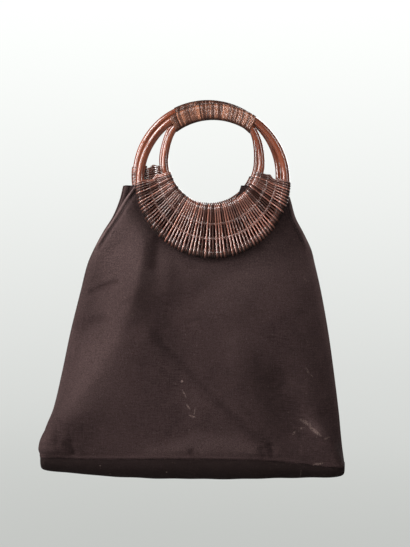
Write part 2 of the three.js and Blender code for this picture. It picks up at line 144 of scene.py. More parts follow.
@dataclass
class Skin:
    """Points and faces gathered into one mesh, with run coordinates and tones."""

    points: list[Array] = field(default_factory=list)
    faces: list[list[int]] = field(default_factory=list)
    corners: list[Array] = field(default_factory=list)
    tones: list[Array] = field(default_factory=list)
    worn: list[Array] = field(default_factory=list)
    count: int = 0

    def _keep(
        self,
        points: Array,
        faces: list[list[int]],
        uv: Array,
        tone: float | Array,
        worn: float | Array,
    ) -> None:
        """Adds points and faces, with one run coordinate for each face corner.

        Args:
            points: Points in metres, one row each.
            faces: Faces as lists of point numbers from 0.
            uv: Run coordinates of the face corners, in the order of the faces.
            tone: One value or one per point, which shifts the colour.
            worn: One value or one per point, from 0 for fresh to 1 for worn.
        """
        self.points.append(points)
        self.faces.extend([[i + self.count for i in face] for face in faces])
        self.corners.append(uv)
        self.tones.append(np.broadcast_to(tone, len(points)).astype(float))
        self.worn.append(np.broadcast_to(worn, len(points)).astype(float))
        self.count += len(points)

    def sweep(
        self,
        path: Array,
        across: Array,
        half: Array,
        sides: int,
        ring: bool = False,
        tone: float | Array = NEUTRAL,
        square: float = 1.0,
    ) -> None:
        """Adds a cane of oval section along a path.

        Args:
            path: Points along the middle, one row each.
            across: Unit vector of the section's width at each point.
            half: Half width and half thickness at each point.
            sides: Points round the section.
            ring: Whether the path closes on itself.
            tone: Colour shift of this cane, or one for each point.
            square: 1 for an oval section, less for a flatter one.
        """
        n = len(path)
        if ring:
            tangent = np.roll(path, -1, 0) - np.roll(path, 1, 0)
        else:
            tangent = np.gradient(path, axis=0)
        tangent = unit(tangent)
        across = unit(across - tangent * (across * tangent).sum(1, keepdims=True))
        lift = np.cross(tangent, across)
        turn = 2 * np.pi * (np.arange(sides) + 0.5) / sides
        wide = signed_power(np.cos(turn), square)
        high = signed_power(np.sin(turn), square)
        grid = (
            path[:, None]
            + across[:, None] * (half[:, :1] * wide)[..., None]
            + lift[:, None] * (half[:, 1:] * high)[..., None]
        )
        along = lengths_along(path)
        girth = np.pi * half.sum(1).mean()
        spans = n if ring else n - 1
        j = np.arange(spans)[:, None]
        k = np.arange(sides)[None]
        k_next = (k + 1) % sides
        j_next = (j + 1) % n
        quads = np.stack(
            [j * sides + k, j * sides + k_next, j_next * sides + k_next, j_next * sides + k], -1
        ).reshape(-1, 4)
        far = np.append(along, along[-1] + np.linalg.norm(path[0] - path[-1]))
        here = np.broadcast_to(far[j], (spans, sides))
        there = np.broadcast_to(far[j + 1], (spans, sides))
        low = np.broadcast_to(k * girth / sides, (spans, sides))
        top = np.broadcast_to((k + 1) * girth / sides, (spans, sides))
        around = ((here, low), (here, top), (there, top), (there, low))
        uv = np.stack([np.stack(corner, -1) for corner in around], 2).reshape(-1, 2)
        faces = quads.tolist()
        if not ring:
            last = (n - 1) * sides
            faces.append(list(range(sides))[::-1])
            faces.append(list(range(last, last + sides)))
            uv = np.concatenate([uv, np.zeros((2 * sides, 2))])
        self._keep(grid.reshape(-1, 3), faces, uv, tone, 0.0)

    def shell(self, outside: Array, inside: Array, uv: Array, worn: Array, tone: Array) -> None:
        """Adds a closed wall between two grids of points.

        Args:
            outside: Outer points, rows by columns, seen left to right and top to bottom.
            inside: The matching inner points.
            uv: Run coordinates of the grid.
            worn: Wear at each grid point.
            tone: Colour shift at each grid point.
        """
        rows, columns = outside.shape[:2]
        number = np.arange(rows * columns).reshape(rows, columns)
        back = number + rows * columns
        quads = []

        def strip(a: Array, b: Array, c: Array, d: Array) -> None:
            """Adds the quads with these corner numbers."""
            quads.append(np.stack([a.ravel(), b.ravel(), c.ravel(), d.ravel()], 1))

        strip(number[:-1, :-1], number[1:, :-1], number[1:, 1:], number[:-1, 1:])
        strip(back[:-1, :-1], back[:-1, 1:], back[1:, 1:], back[1:, :-1])
        strip(number[0, :-1], number[0, 1:], back[0, 1:], back[0, :-1])
        strip(number[-1, :-1], back[-1, :-1], back[-1, 1:], number[-1, 1:])
        strip(number[1:, 0], number[:-1, 0], back[:-1, 0], back[1:, 0])
        strip(number[:-1, -1], number[1:, -1], back[1:, -1], back[:-1, -1])
        faces = np.concatenate(quads)
        flat = np.concatenate([uv.reshape(-1, 2)] * 2)
        self._keep(
            np.concatenate([outside.reshape(-1, 3), inside.reshape(-1, 3)]),
            faces.tolist(),
            flat[faces.ravel()],
            np.concatenate([tone.ravel()] * 2),
            np.concatenate([worn.ravel()] * 2),
        )

    def build(self, name: str, finish: Material, sharp: float | None = None) -> Piece:
        """Makes the mesh object.

        Args:
            name: The object's name.
            finish: Its material.
            sharp: Angle in radians above which an edge stays sharp, or None.

        Returns:
            The object, linked to the scene.
        """
        mesh = bpy.data.meshes.new(name)
        mesh.from_pydata(np.concatenate(self.points).tolist(), [], self.faces)
        run = mesh.uv_layers.new(name=Layer.RUN.value)
        run.data.foreach_set("uv", np.concatenate(self.corners).astype(np.float32).ravel())
        for layer, values in ((Layer.TONE, self.tones), (Layer.WORN, self.worn)):
            made = mesh.attributes.new(layer.value, "FLOAT", "POINT")
            made.data.foreach_set("value", np.concatenate(values).astype(np.float32))
        mesh.shade_smooth()
        if sharp is not None:
            mesh.set_sharp_from_angle(angle=sharp)
        mesh.materials.append(finish)
        piece = bpy.data.objects.new(name, mesh)
        bpy.context.scene.collection.objects.link(piece)
        return piece


def unit(vectors: Array) -> Array:
    """Vectors of length 1, along the last axis."""
    return vectors / np.maximum(np.linalg.norm(vectors, axis=-1, keepdims=True), 1e-12)


def signed_power(value: Array, power: float) -> Array:
    """The power of a value's size, with the value's sign."""
    return np.sign(value) * np.abs(value) ** power


def lengths_along(line: Array) -> Array:
    """How far along a line each of its points lies."""
    return np.concatenate([[0.0], np.cumsum(np.linalg.norm(np.diff(line, axis=0), axis=1))])


def ease(t: Array) -> Array:
    """A smooth rise from 0 to 1 as t goes from 0 to 1."""
    return t * t * (3 - 2 * t)


def crowded(places: Array, density: Array, count: int) -> Array:
    """Places picked from a fine row of them, closer together where the density is high.

    Args:
        places: The fine row.
        density: How crowded each of its places is.
        count: How many to pick.

    Returns:
        The places picked, with both ends among them.
    """
    total = np.concatenate([[0.0], np.cumsum((density[:-1] + density[1:]) / 2)])
    return np.interp(np.linspace(0, total[-1], count), total, places)


def resample(points: Array, count: int, closed: bool) -> Array:
    """Points at equal distances along a line of points.

    Args:
        points: The line, one row each.
        count: How many points to return.
        closed: Whether the line returns to its first point.

    Returns:
        The points, without a repeat of the first one.
    """
    line = np.concatenate([points, points[:1]]) if closed else points
    place = lengths_along(line)
    at = np.linspace(0, place[-1], count, endpoint=not closed)
    return np.stack([np.interp(at, place, line[:, k]) for k in range(line.shape[1])], 1)


def table_at(rows: tuple[tuple[float, ...], ...], column: int, place: Array) -> Array:
    """One column of a table on a smooth curve through its rows.

    Args:
        rows: The table, whose first column is the place.
        column: The column to read.
        place: Where to read it.

    Returns:
        The values at those places.
    """
    table = np.array(rows, float)
    at, value = table[:, 0], table[:, column]
    ends = np.arange(len(at))
    after = np.minimum(ends + 1, len(at) - 1)
    before = np.maximum(ends - 1, 0)
    slope = (value[after] - value[before]) / (at[after] - at[before])
    i = np.clip(np.searchsorted(at, place, side="left") - 1, 0, len(at) - 2)
    span = at[i + 1] - at[i]
    t = np.clip((place - at[i]) / span, 0, 1)
    rise = ease(t)
    leave = t * (1 - t) ** 2 * span * slope[i]
    arrive = -t * t * (1 - t) * span * slope[i + 1]
    return value[i] * (1 - rise) + value[i + 1] * rise + leave + arrive


def smooth_step(low: float, high: float, value: Array) -> Array:
    """0 below low, 1 above high, and smooth between."""
    return ease(np.clip((value - low) / (high - low), 0, 1))


RIPPLE_WAVES = 18
RIPPLE_LENGTHS = (0.7, 1.6)


def ripples(u: Array, v: Array, length: float, seed: int, stretch: float = 1.0) -> Array:
    """Soft uneven waves over a surface, about 1 high.

    Args:
        u: First coordinate, in metres.
        v: Second coordinate, in metres.
        length: Usual wave length, in metres.
        seed: Number that picks the pattern.
        stretch: How much longer the waves are along v than along u.

    Returns:
        The height at each place.
    """
    rng = np.random.default_rng(seed)
    total = np.zeros(np.broadcast(u, v).shape)
    for _ in range(RIPPLE_WAVES):
        angle = rng.uniform(0, np.pi)
        size = length * rng.uniform(*RIPPLE_LENGTHS)
        phase = rng.uniform(0, 2 * np.pi)
        total += np.sin(2 * np.pi * (u * np.cos(angle) + v * np.sin(angle) / stretch) / size + phase)
    return total / math.sqrt(RIPPLE_WAVES)


class Shading:
    """Small helpers that lay out the nodes of one node tree."""

    def __init__(self, tree: NodeTree) -> None:
        """Takes the tree that the nodes go into."""
        self.tree = tree

    def add(self, kind: str, **settings: object) -> Node:
        """Adds a node of a kind and sets its properties.

        Args:
            kind: The node's type.
            settings: Its properties.

        Returns:
            The node.
        """
        node = self.tree.nodes.new(kind)
        for key, value in settings.items():
            setattr(node, key, value)
        return node

    def link(self, source: Socket, target: Socket) -> None:
        """Joins two sockets."""
        self.tree.links.new(source, target)

    def feed(self, target: Socket, value: object) -> None:
        """Links a socket, or sets a plain value.

        Args:
            target: The input.
            value: A socket or a plain value.
        """
        if isinstance(value, Socket):
            self.link(value, target)
        else:
            target.default_value = value

    def math(self, operation: str, *values: object, clamp: bool = False) -> Socket:
        """The result of a Math node on sockets or numbers.

        Args:
            operation: What the node does.
            values: Its inputs in order.
            clamp: Whether the result stays within 0 and 1.

        Returns:
            The result.
        """
        node = self.add("ShaderNodeMath", operation=operation, use_clamp=clamp)
        for socket, value in zip(node.inputs, values):
            self.feed(socket, value)
        return node.outputs[0]

    def times(self, first: object, second: object) -> Socket:
        """The product of two sockets or numbers."""
        return self.math("MULTIPLY", first, second)

    def plus(self, first: object, second: object, clamp: bool = False) -> Socket:
        """The sum of two sockets or numbers."""
        return self.math("ADD", first, second, clamp=clamp)

    def minus(self, first: object, second: object) -> Socket:
        """The difference of two sockets or numbers."""
        return self.math("SUBTRACT", first, second)

    def ridges(self, value: Socket) -> Socket:
        """A row of round ridges, one for each whole number."""
        return self.math("ABSOLUTE", self.math("SINE", self.times(value, math.pi)))

    def vector(self, operation: str, first: object, second: object) -> Socket:
        """The vector result of a Vector Math node.

        Args:
            operation: What the node does.
            first: A vector.
            second: A vector.

        Returns:
            The result.
        """
        node = self.add("ShaderNodeVectorMath", operation=operation)
        self.feed(node.inputs[0], first)
        self.feed(node.inputs[1], second)
        return node.outputs[0]

    def noise(self, vector: Socket, scale: float, detail: float = 3.0, rough: float = 0.55) -> Socket:
        """The value of a Noise Texture at a vector.

        Args:
            vector: Where to read it.
            scale: How fine it is.
            detail: How many finer layers it has.
            rough: How strong those are.

        Returns:
            The value, about 0 to 1.
        """
        node = self.add("ShaderNodeTexNoise", noise_dimensions="3D")
        self.link(vector, node.inputs["Vector"])
        node.inputs["Scale"].default_value = scale
        node.inputs["Detail"].default_value = detail
        node.inputs["Roughness"].default_value = rough
        return node.outputs["Fac"]

    def span(
        self, value: object, low: float, high: float, to_low: float = 0.0, to_high: float = 1.0
    ) -> Socket:
        """A value moved from one range to another and held inside it.

        Args:
            value: The value.
            low: Start of its range.
            high: End of its range.
            to_low: Result at the start.
            to_high: Result at the end.

        Returns:
            The moved value.
        """
        node = self.add("ShaderNodeMapRange", clamp=True)
        self.feed(node.inputs["Value"], value)
        limits = {"From Min": low, "From Max": high, "To Min": to_low, "To Max": to_high}
        for name, number in limits.items():
            node.inputs[name].default_value = number
        return node.outputs["Result"]

    def mix(self, share: object, first: object, second: object) -> Socket:
        """Two colours mixed by a share.

        Args:
            share: How much of the second.
            first: A colour.
            second: A colour.

        Returns:
            The mix.
        """
        node = self.add("ShaderNodeMix", data_type="RGBA", blend_type="MIX")
        self.feed(node.inputs[0], share)
        self.feed(node.inputs[6], first)
        self.feed(node.inputs[7], second)
        return node.outputs[2]

    def run(self) -> Socket:
        """The run coordinates of the mesh, in metres."""
        return self.add("ShaderNodeUVMap", uv_map=Layer.RUN.value).outputs["UV"]

    def value_of(self, layer: Layer) -> Socket:
        """A value that the mesh carries for each point."""
        return self.add("ShaderNodeAttribute", attribute_name=layer.value).outputs["Fac"]

    def place(self) -> Socket:
        """The place on the object, in metres."""
        return self.add("ShaderNodeTexCoord").outputs["Object"]

    def parts(self, vector: Socket) -> tuple[Socket, ...]:
        """The three parts of a vector."""
        node = self.add("ShaderNodeSeparateXYZ")
        self.link(vector, node.inputs[0])
        return tuple(node.outputs)

    def scaled(self, vector: Socket, by: tuple[float, float, float]) -> Socket:
        """A vector with each part multiplied."""
        return self.vector("MULTIPLY", vector, by)

    def enlarged(self, vector: Socket, scale: Socket) -> Socket:
        """A vector multiplied by a value.

        Args:
            vector: The vector.
            scale: The value.

        Returns:
            The product.
        """
        node = self.add("ShaderNodeVectorMath", operation="SCALE")
        self.link(vector, node.inputs[0])
        self.link(scale, node.inputs["Scale"])
        return node.outputs[0]

    def placed(self, group: NodeTree, **values: object) -> Node:
        """A node group placed in this tree, with its inputs set or linked.

        Args:
            group: The group.
            values: Its inputs by name.

        Returns:
            Its node.
        """
        node = self.add("ShaderNodeGroup", node_tree=group)
        for name, value in values.items():
            self.feed(node.inputs[name.replace("_", " ")], value)
        return node


def new_group(
    name: str, inputs: dict[str, str], outputs: dict[str, str]
) -> tuple[Shading, dict[str, Socket], Node]:
    """An empty shader node group with named sockets.

    Args:
        name: The group's name.
        inputs: Socket kinds by name.
        outputs: Socket kinds by name.

    Returns:
        The helper for its tree, its input sockets by name, and its output node.
    """
    tree = bpy.data.node_groups.new(name, "ShaderNodeTree")
    for sockets, way in ((inputs, "INPUT"), (outputs, "OUTPUT")):
        for key, kind in sockets.items():
            tree.interface.new_socket(key, in_out=way, socket_type="NodeSocket" + kind)
    shading = Shading(tree)
    source = shading.add("NodeGroupInput")
    return shading, {key: source.outputs[key] for key in inputs}, shading.add("NodeGroupOutput")


class Effects:
    """The node groups that several finishes share."""

    def __init__(self) -> None:
        """Builds every group once."""
        self.weave = self._weave()
        self.streaks = self._streaks()
        self.mottle = self._mottle()
        self.scuff = self._scuff()

    @staticmethod
    def _weave() -> NodeTree:
        """Plain weave of two sets of threads: its height, its gaps, and the threads' thick places.

        Returns:
            The group.
        """
        shading, given, out = new_group(
            "plain weave",
            {"Cloth": "Vector", "Threads": "Float"},
            {"Height": "Float", "Gaps": "Float", "Slubs": "Float"},
        )
        under, rise = 0.55, 0.45
        cloth = shading.enlarged(given["Cloth"], given["Threads"])
        wobble = shading.noise(cloth, scale=0.35, detail=2.0)
        u, v, _ = shading.parts(cloth)
        u = shading.plus(u, shading.times(wobble, 0.9))
        v = shading.plus(v, shading.times(wobble, 0.7))
        squares = shading.plus(shading.math("FLOOR", u), shading.math("FLOOR", v))
        odd = shading.math("ABSOLUTE", shading.math("MODULO", squares, 2.0))
        even = shading.minus(1.0, odd)
        over_u = shading.times(shading.ridges(u), shading.plus(under, shading.times(odd, rise)))
        over_v = shading.times(shading.ridges(v), shading.plus(under, shading.times(even, rise)))
        height = shading.math("MAXIMUM", over_u, over_v)
        shading.link(height, out.inputs["Height"])
        shading.link(shading.span(height, 0.35, 0.75, 1.0, 0.0), out.inputs["Gaps"])
        weft = shading.noise(shading.scaled(cloth, (0.07, 0.75, 1.0)), scale=1.0, detail=2.0)
        warp = shading.noise(shading.scaled(cloth, (0.75, 0.05, 1.0)), scale=1.0, detail=2.0)
        slubs = shading.plus(shading.times(weft, 0.62), shading.times(warp, 0.38))
        shading.link(shading.span(slubs, 0.38, 0.62), out.inputs["Slubs"])
        return shading.tree

    @staticmethod
    def _scuff() -> NodeTree:
        """A broken rubbed mark in a long oval: its share at each place.

        Returns:
            The group.
        """
        shading, given, out = new_group(
            "scuff mark",
            {"Place": "Vector", "Centre": "Vector", "Turn": "Float", "Length": "Float", "Width": "Float"},
            {"Share": "Float"},
        )
        reach_in = 20 * MM
        x, y, z = shading.parts(shading.vector("SUBTRACT", given["Place"], given["Centre"]))
        cosine, sine = shading.math("COSINE", given["Turn"]), shading.math("SINE", given["Turn"])
        along = shading.plus(shading.times(x, cosine), shading.times(z, sine))
        across = shading.minus(shading.times(z, cosine), shading.times(x, sine))
        total = shading.math("POWER", shading.math("DIVIDE", y, reach_in), 2.0)
        for distance, size in ((along, given["Length"]), (across, given["Width"])):
            share = shading.math("ABSOLUTE", shading.math("DIVIDE", distance, size))
            total = shading.plus(total, shading.math("POWER", share, 2.0))
        grain = shading.noise(given["Place"], scale=620.0, detail=3.0, rough=0.6)
        broken = shading.span(grain, 0.4, 0.6)
        inside = shading.span(total, 1.0, 0.3)
        shading.link(shading.times(inside, broken), out.inputs["Share"])
        return shading.tree

    @staticmethod
    def _streaks() -> NodeTree:
        """Long fibres that run along a cane: a share for colour and a height.

        Returns:
            The group.
        """
        shading, given, out = new_group(
            "cane fibres",
            {"Run": "Vector", "Length": "Float", "Fineness": "Float"},
            {"Fibre": "Float", "Height": "Float", "Patches": "Float"},
        )
        along, round_cane, _ = shading.parts(given["Run"])
        node = shading.add("ShaderNodeCombineXYZ")
        shading.link(shading.math("DIVIDE", along, given["Length"]), node.inputs[0])
        shading.link(shading.times(round_cane, given["Fineness"]), node.inputs[1])
        fibre = shading.noise(node.outputs[0], scale=1.0, detail=4.0, rough=0.6)
        shading.link(shading.span(fibre, 0.36, 0.64), out.inputs["Fibre"])
        shading.link(fibre, out.inputs["Height"])
        patches = shading.noise(given["Run"], scale=22.0)
        shading.link(shading.span(patches, 0.35, 0.68), out.inputs["Patches"])
        return shading.tree

    @staticmethod
    def _mottle() -> NodeTree:
        """Uneven dye, dust and small marks of used cloth.

        Returns:
            The group.
        """
        shading, given, out = new_group(
            "used cloth",
            {"Place": "Vector", "Scale": "Float"},
            {"Broad": "Float", "Fine": "Float", "Grain": "Float", "Specks": "Float"},
        )
        place = shading.enlarged(given["Place"], given["Scale"])
        marks = (
            ("Broad", shading.noise(place, scale=1.0, detail=4.0), 0.33, 0.68),
            ("Fine", shading.noise(place, scale=9.0, detail=5.0, rough=0.65), 0.3, 0.7),
            ("Grain", shading.noise(place, scale=78.0, detail=2.0, rough=0.6), 0.38, 0.62),
            ("Specks", shading.noise(place, scale=34.0, detail=2.0, rough=0.5), 0.68, 0.76),
        )
        for name, noise, low, high in marks:
            shading.link(shading.span(noise, low, high), out.inputs[name])
        return shading.tree


def colour(red: float, green: float, blue: float) -> Colour:
    """A display colour of 0 to 255 as the linear colour that shaders take.

    Args:
        red: Red.
        green: Green.
        blue: Blue.

    Returns:
        The linear colour, opaque.
    """

    def linear(part: float) -> float:
        """One part of the colour."""
        share = part / 255
        return share / 12.92 if share <= 0.04045 else ((share + 0.055) / 1.055) ** 2.4

    return (linear(red), linear(green), linear(blue), 1.0)


def blank_finish(name: str, tint: Colour) -> tuple[Material, Shading, Node]:
    """A material with an empty Principled shader.

    Args:
        name: The material's name.
        tint: Its plain colour, shown where nodes aren't read.

    Returns:
        The material, the helper for its nodes, and the shader.
    """
    material = bpy.data.materials.new(name)
    material.use_nodes = True
    material.diffuse_color = tint
    shading = Shading(material.node_tree)
    shading.tree.nodes.clear()
    shader = shading.add("ShaderNodeBsdfPrincipled")
    out = shading.add("ShaderNodeOutputMaterial")
    shading.link(shader.outputs[0], out.inputs[0])
    return material, shading, shader


def add_bump(shading: Shading, shader: Node, height: Socket, depth: float) -> None:
    """Gives a shader small relief of this depth in metres.

    Args:
        shading: Helper of the material's nodes.
        shader: The shader.
        height: The relief.
        depth: Metres of relief for a height of 1.
    """
    bump = shading.add("ShaderNodeBump")
    bump.inputs["Strength"].default_value = 1.0
    bump.inputs["Distance"].default_value = depth
    shading.link(height, bump.inputs["Height"])
    shading.link(bump.outputs[0], shader.inputs["Normal"])


@dataclass(frozen=True)
class Scuff:
    """A rubbed mark on the front, in millimetres across and up in the frame and degrees of turn."""

    x: float
    z: float
    depth: float
    turn: float
    length: float
    width: float
    share: float

    def share_at(self, shading: Shading, effects: Effects, place: Socket) -> Socket:
        """Its share of the colour at each place on the cloth.

        Args:
            shading: Helper of the cloth's nodes.
            effects: The shared node groups.
            place: The place on the cloth.

        Returns:
            The share, 0 to 1.
        """
        mark = shading.placed(
            effects.scuff,
            Place=place,
            Centre=(self.x * MM, self.depth * MM, self.z * MM),
            Turn=math.radians(self.turn),
            Length=self.length * MM,
            Width=self.width * MM,
        )
        return shading.times(mark.outputs["Share"], self.share)


@dataclass(frozen=True)
class ClothFinish:
    """Woven canvas, faded where it rubs."""

    name: str
    deep: Colour
    light: Colour
    worn: Colour
    fleck: Colour
    scuffs: tuple[Scuff, ...] = ()
    threads: float = 1150.0
    relief: float = 0.00022
    mottle: float = 13.0
    dye: tuple[float, float] = (0.38, 0.74)
    slub_share: float = 0.62
    gap_share: float = 0.3
    grain_share: float = 0.55
    speck_share: float = 0.14
    rub: tuple[float, float] = (0.55, 1.0)
    roughness: tuple[float, float] = (0.88, 0.98)
    gloss: float = 0.06
    fine_height: float = 0.8
    slub_height: float = 1.4

    def material(self, effects: Effects) -> Material:
        """The finish as a material.

        Args:
            effects: The shared node groups.

        Returns:
            The material.
        """
        material, shading, shader = blank_finish(self.name, self.deep)
        cloth = shading.run()
        place = shading.place()
        weave = shading.placed(effects.weave, Cloth=cloth, Threads=self.threads).outputs
        used = shading.placed(effects.mottle, Place=place, Scale=self.mottle).outputs
        tint = shading.mix(shading.span(used["Broad"], 0, 1, *self.dye), self.deep, self.light)
        # The tone paints the cloth: paler above neutral as painted light, darker below it as painted shade.
        tone = shading.value_of(Layer.TONE)
        tint = shading.mix(shading.span(tone, NEUTRAL, 1.0), tint, self.worn)
        tint = shading.mix(shading.span(tone, NEUTRAL, 0.0), tint, self.deep)
        tint = shading.mix(shading.times(weave["Slubs"], self.slub_share), tint, self.light)
        tint = shading.mix(shading.times(weave["Gaps"], self.gap_share), tint, self.deep)
        tint = shading.mix(shading.times(used["Grain"], self.grain_share), tint, self.deep)
        # Pale where rubbed, which on the slits' hem beads also stands as a painted highlight.
        broken = shading.span(used["Fine"], 0, 1, *self.rub)
        rubbed = shading.times(shading.value_of(Layer.WORN), broken)
        tint = shading.mix(rubbed, tint, self.worn)
        tint = shading.mix(shading.times(used["Specks"], self.speck_share), tint, self.fleck)
        for scuff in self.scuffs:
            tint = shading.mix(scuff.share_at(shading, effects, place), tint, self.fleck)
        shading.link(tint, shader.inputs["Base Color"])
        shading.link(shading.span(used["Fine"], 0, 1, *self.roughness), shader.inputs["Roughness"])
        shader.inputs["Specular IOR Level"].default_value = self.gloss
        height = shading.plus(weave["Height"], shading.times(used["Fine"], self.fine_height))
        height = shading.plus(height, shading.times(weave["Slubs"], self.slub_height))
        add_bump(shading, shader, height, self.relief)
        return material


@dataclass(frozen=True)
class CaneFinish:
    """Varnished cane with fibres along it."""

    name: str
    dark: Colour
    mid: Colour
    light: Colour
    roughness: float
    varnish: float
    varnish_roughness: float
    varnish_index: float = 1.7
    fibre_length: float = 0.05
    fineness: float = 900.0
    relief: float = 0.00012
    tone_share: float = 0.5
    patch_share: float = 0.45
    rough_spread: tuple[float, float] = (0.8, 1.3)
    dull_tones: tuple[float, float] = (0.15, 0.45)
    dull_share: float = 0.5
    least_varnish: float = 0.1
    gloss: float = 0.3

    def material(self, effects: Effects) -> Material:
        """The finish as a material.

        Args:
            effects: The shared node groups.

        Returns:
            The material.
        """
        material, shading, shader = blank_finish(self.name, self.mid)
        fibres = shading.placed(
            effects.streaks, Run=shading.run(), Length=self.fibre_length, Fineness=self.fineness
        ).outputs
        tone = shading.value_of(Layer.TONE)
        tint = shading.mix(fibres["Fibre"], self.dark, self.mid)
        tint = shading.mix(shading.times(fibres["Patches"], self.patch_share), tint, self.light)
        brighter = shading.span(tone, NEUTRAL, 1.0, 0.0, self.tone_share)
        darker = shading.span(tone, NEUTRAL, 0.0, 0.0, self.tone_share)
        tint = shading.mix(brighter, tint, self.light)
        tint = shading.mix(darker, tint, self.dark)
        shading.link(tint, shader.inputs["Base Color"])
        smooth, coarse = (self.roughness * share for share in self.rough_spread)
        rough = shading.span(fibres["Patches"], 0, 1, smooth, coarse)
        low, high = self.dull_tones
        dull = shading.span(tone, high, low, 0.0, self.dull_share)
        varnish = shading.span(tone, low, high, self.least_varnish, self.varnish)
        shading.link(shading.plus(rough, dull, clamp=True), shader.inputs["Roughness"])
        shading.link(varnish, shader.inputs["Coat Weight"])
        shader.inputs["Coat Roughness"].default_value = self.varnish_roughness
        shader.inputs["Coat IOR"].default_value = self.varnish_index
        shader.inputs["Specular IOR Level"].default_value = self.gloss
        add_bump(shading, shader, fibres["Height"], self.relief)
        return material


@dataclass(frozen=True)
class ThreadFinish:
    """Matt sewing thread with a twist."""

    name: str
    tint: Colour
    shade: Colour
    twist_length: float = 0.0008
    fineness: float = 2500.0
    roughness: float = 0.85
    relief: float = 0.00008

    def material(self, effects: Effects) -> Material:
        """The finish as a material.

        Args:
            effects: The shared node groups.

        Returns:
            The material.
        """
        material, shading, shader = blank_finish(self.name, self.tint)
        fibres = shading.placed(
            effects.streaks, Run=shading.run(), Length=self.twist_length, Fineness=self.fineness
        ).outputs
        shading.link(shading.mix(fibres["Fibre"], self.shade, self.tint), shader.inputs["Base Color"])
        shader.inputs["Roughness"].default_value = self.roughness
        add_bump(shading, shader, fibres["Height"], self.relief)
        return material


@dataclass(frozen=True)
class StageFinish:
    """Plain pale paper of the studio floor, clear from its underside.

    Seen directly it glows evenly, from a grey under the bag to white up the wall.
    """

    name: str = "pale_paper"
    tint: Colour = (0.32, 0.32, 0.315, 1.0)
    cloudy: Colour = (0.28, 0.28, 0.275, 1.0)
    near_glow: Colour = (0.53, 0.545, 0.523, 1.0)
    far_glow: Colour = (1.68, 1.71, 1.69, 1.0)
    mottle: float = 0.8
    cloud_share: float = 0.04
    roughness: float = 0.95
    gloss: float = 0.1
    climb: float = 0.2
    spread: float = 0.0715
    glow_share: float = 0.9

    def glow(self, shading: Shading, place: Socket) -> Socket:
        """The colour of the paper as the camera sees it, paler further out and higher up.

        Args:
            shading: Helper of the paper's nodes.
            place: The place on the floor.

        Returns:
            The colour.
        """
        x, y, height = shading.parts(place)
        squares = shading.plus(shading.math("POWER", x, 2.0), shading.math("POWER", y, 2.0))
        radius = shading.math("SQRT", squares)
        climb = shading.times(shading.plus(height, -FLOOR_Z), self.climb)
        share = shading.plus(climb, shading.times(radius, self.spread), clamp=True)
        return shading.mix(share, self.near_glow, self.far_glow)

    def material(self, effects: Effects) -> Material:
        """The finish as a material.

        Args:
            effects: The shared node groups.

        Returns:
            The material.
        """
        material, shading, shader = blank_finish(self.name, self.tint)
        place = shading.place()
        used = shading.placed(effects.mottle, Place=place, Scale=self.mottle)
        faint = shading.times(used.outputs["Broad"], self.cloud_share)
        shading.link(shading.mix(faint, self.tint, self.cloudy), shader.inputs["Base Color"])
        shader.inputs["Roughness"].default_value = self.roughness
        shader.inputs["Specular IOR Level"].default_value = self.gloss
        glow = shading.add("ShaderNodeEmission")
        shading.link(self.glow(shading, place), glow.inputs["Color"])
        camera_ray = shading.add("ShaderNodeLightPath").outputs["Is Camera Ray"]
        seen = shading.add("ShaderNodeMixShader")
        shading.link(shading.times(camera_ray, self.glow_share), seen.inputs[0])
        shading.link(shader.outputs[0], seen.inputs[1])
        shading.link(glow.outputs[0], seen.inputs[2])
        cut = shading.add("ShaderNodeMixShader")
        shading.link(shading.add("ShaderNodeNewGeometry").outputs["Backfacing"], cut.inputs[0])
        shading.link(seen.outputs[0], cut.inputs[1])
        shading.link(shading.add("ShaderNodeBsdfTransparent").outputs[0], cut.inputs[2])
        out = next(node for node in shading.tree.nodes if node.type == "OUTPUT_MATERIAL")
        shading.link(cut.outputs[0], out.inputs[0])
        return material


@dataclass(frozen=True)
class Band:
    """A soft ridge, groove or stripe: where its middle lies, and its half width."""

    place: float
    width: float

    def share_at(self, distance: Array) -> Array:
        """Its share at each distance, which is 1 at its middle."""
        return np.exp(-(((distance - self.place) / self.width) ** 2))


OUTWARD = np.array([0.0, 1.0, 0.0])
FREE_STRAYS = np.array([0, 1, 1, 1, 1, 1, 0])
STRAND_SIDES = 8
CANE_SIDES = 24
BAND_SIDES = 6


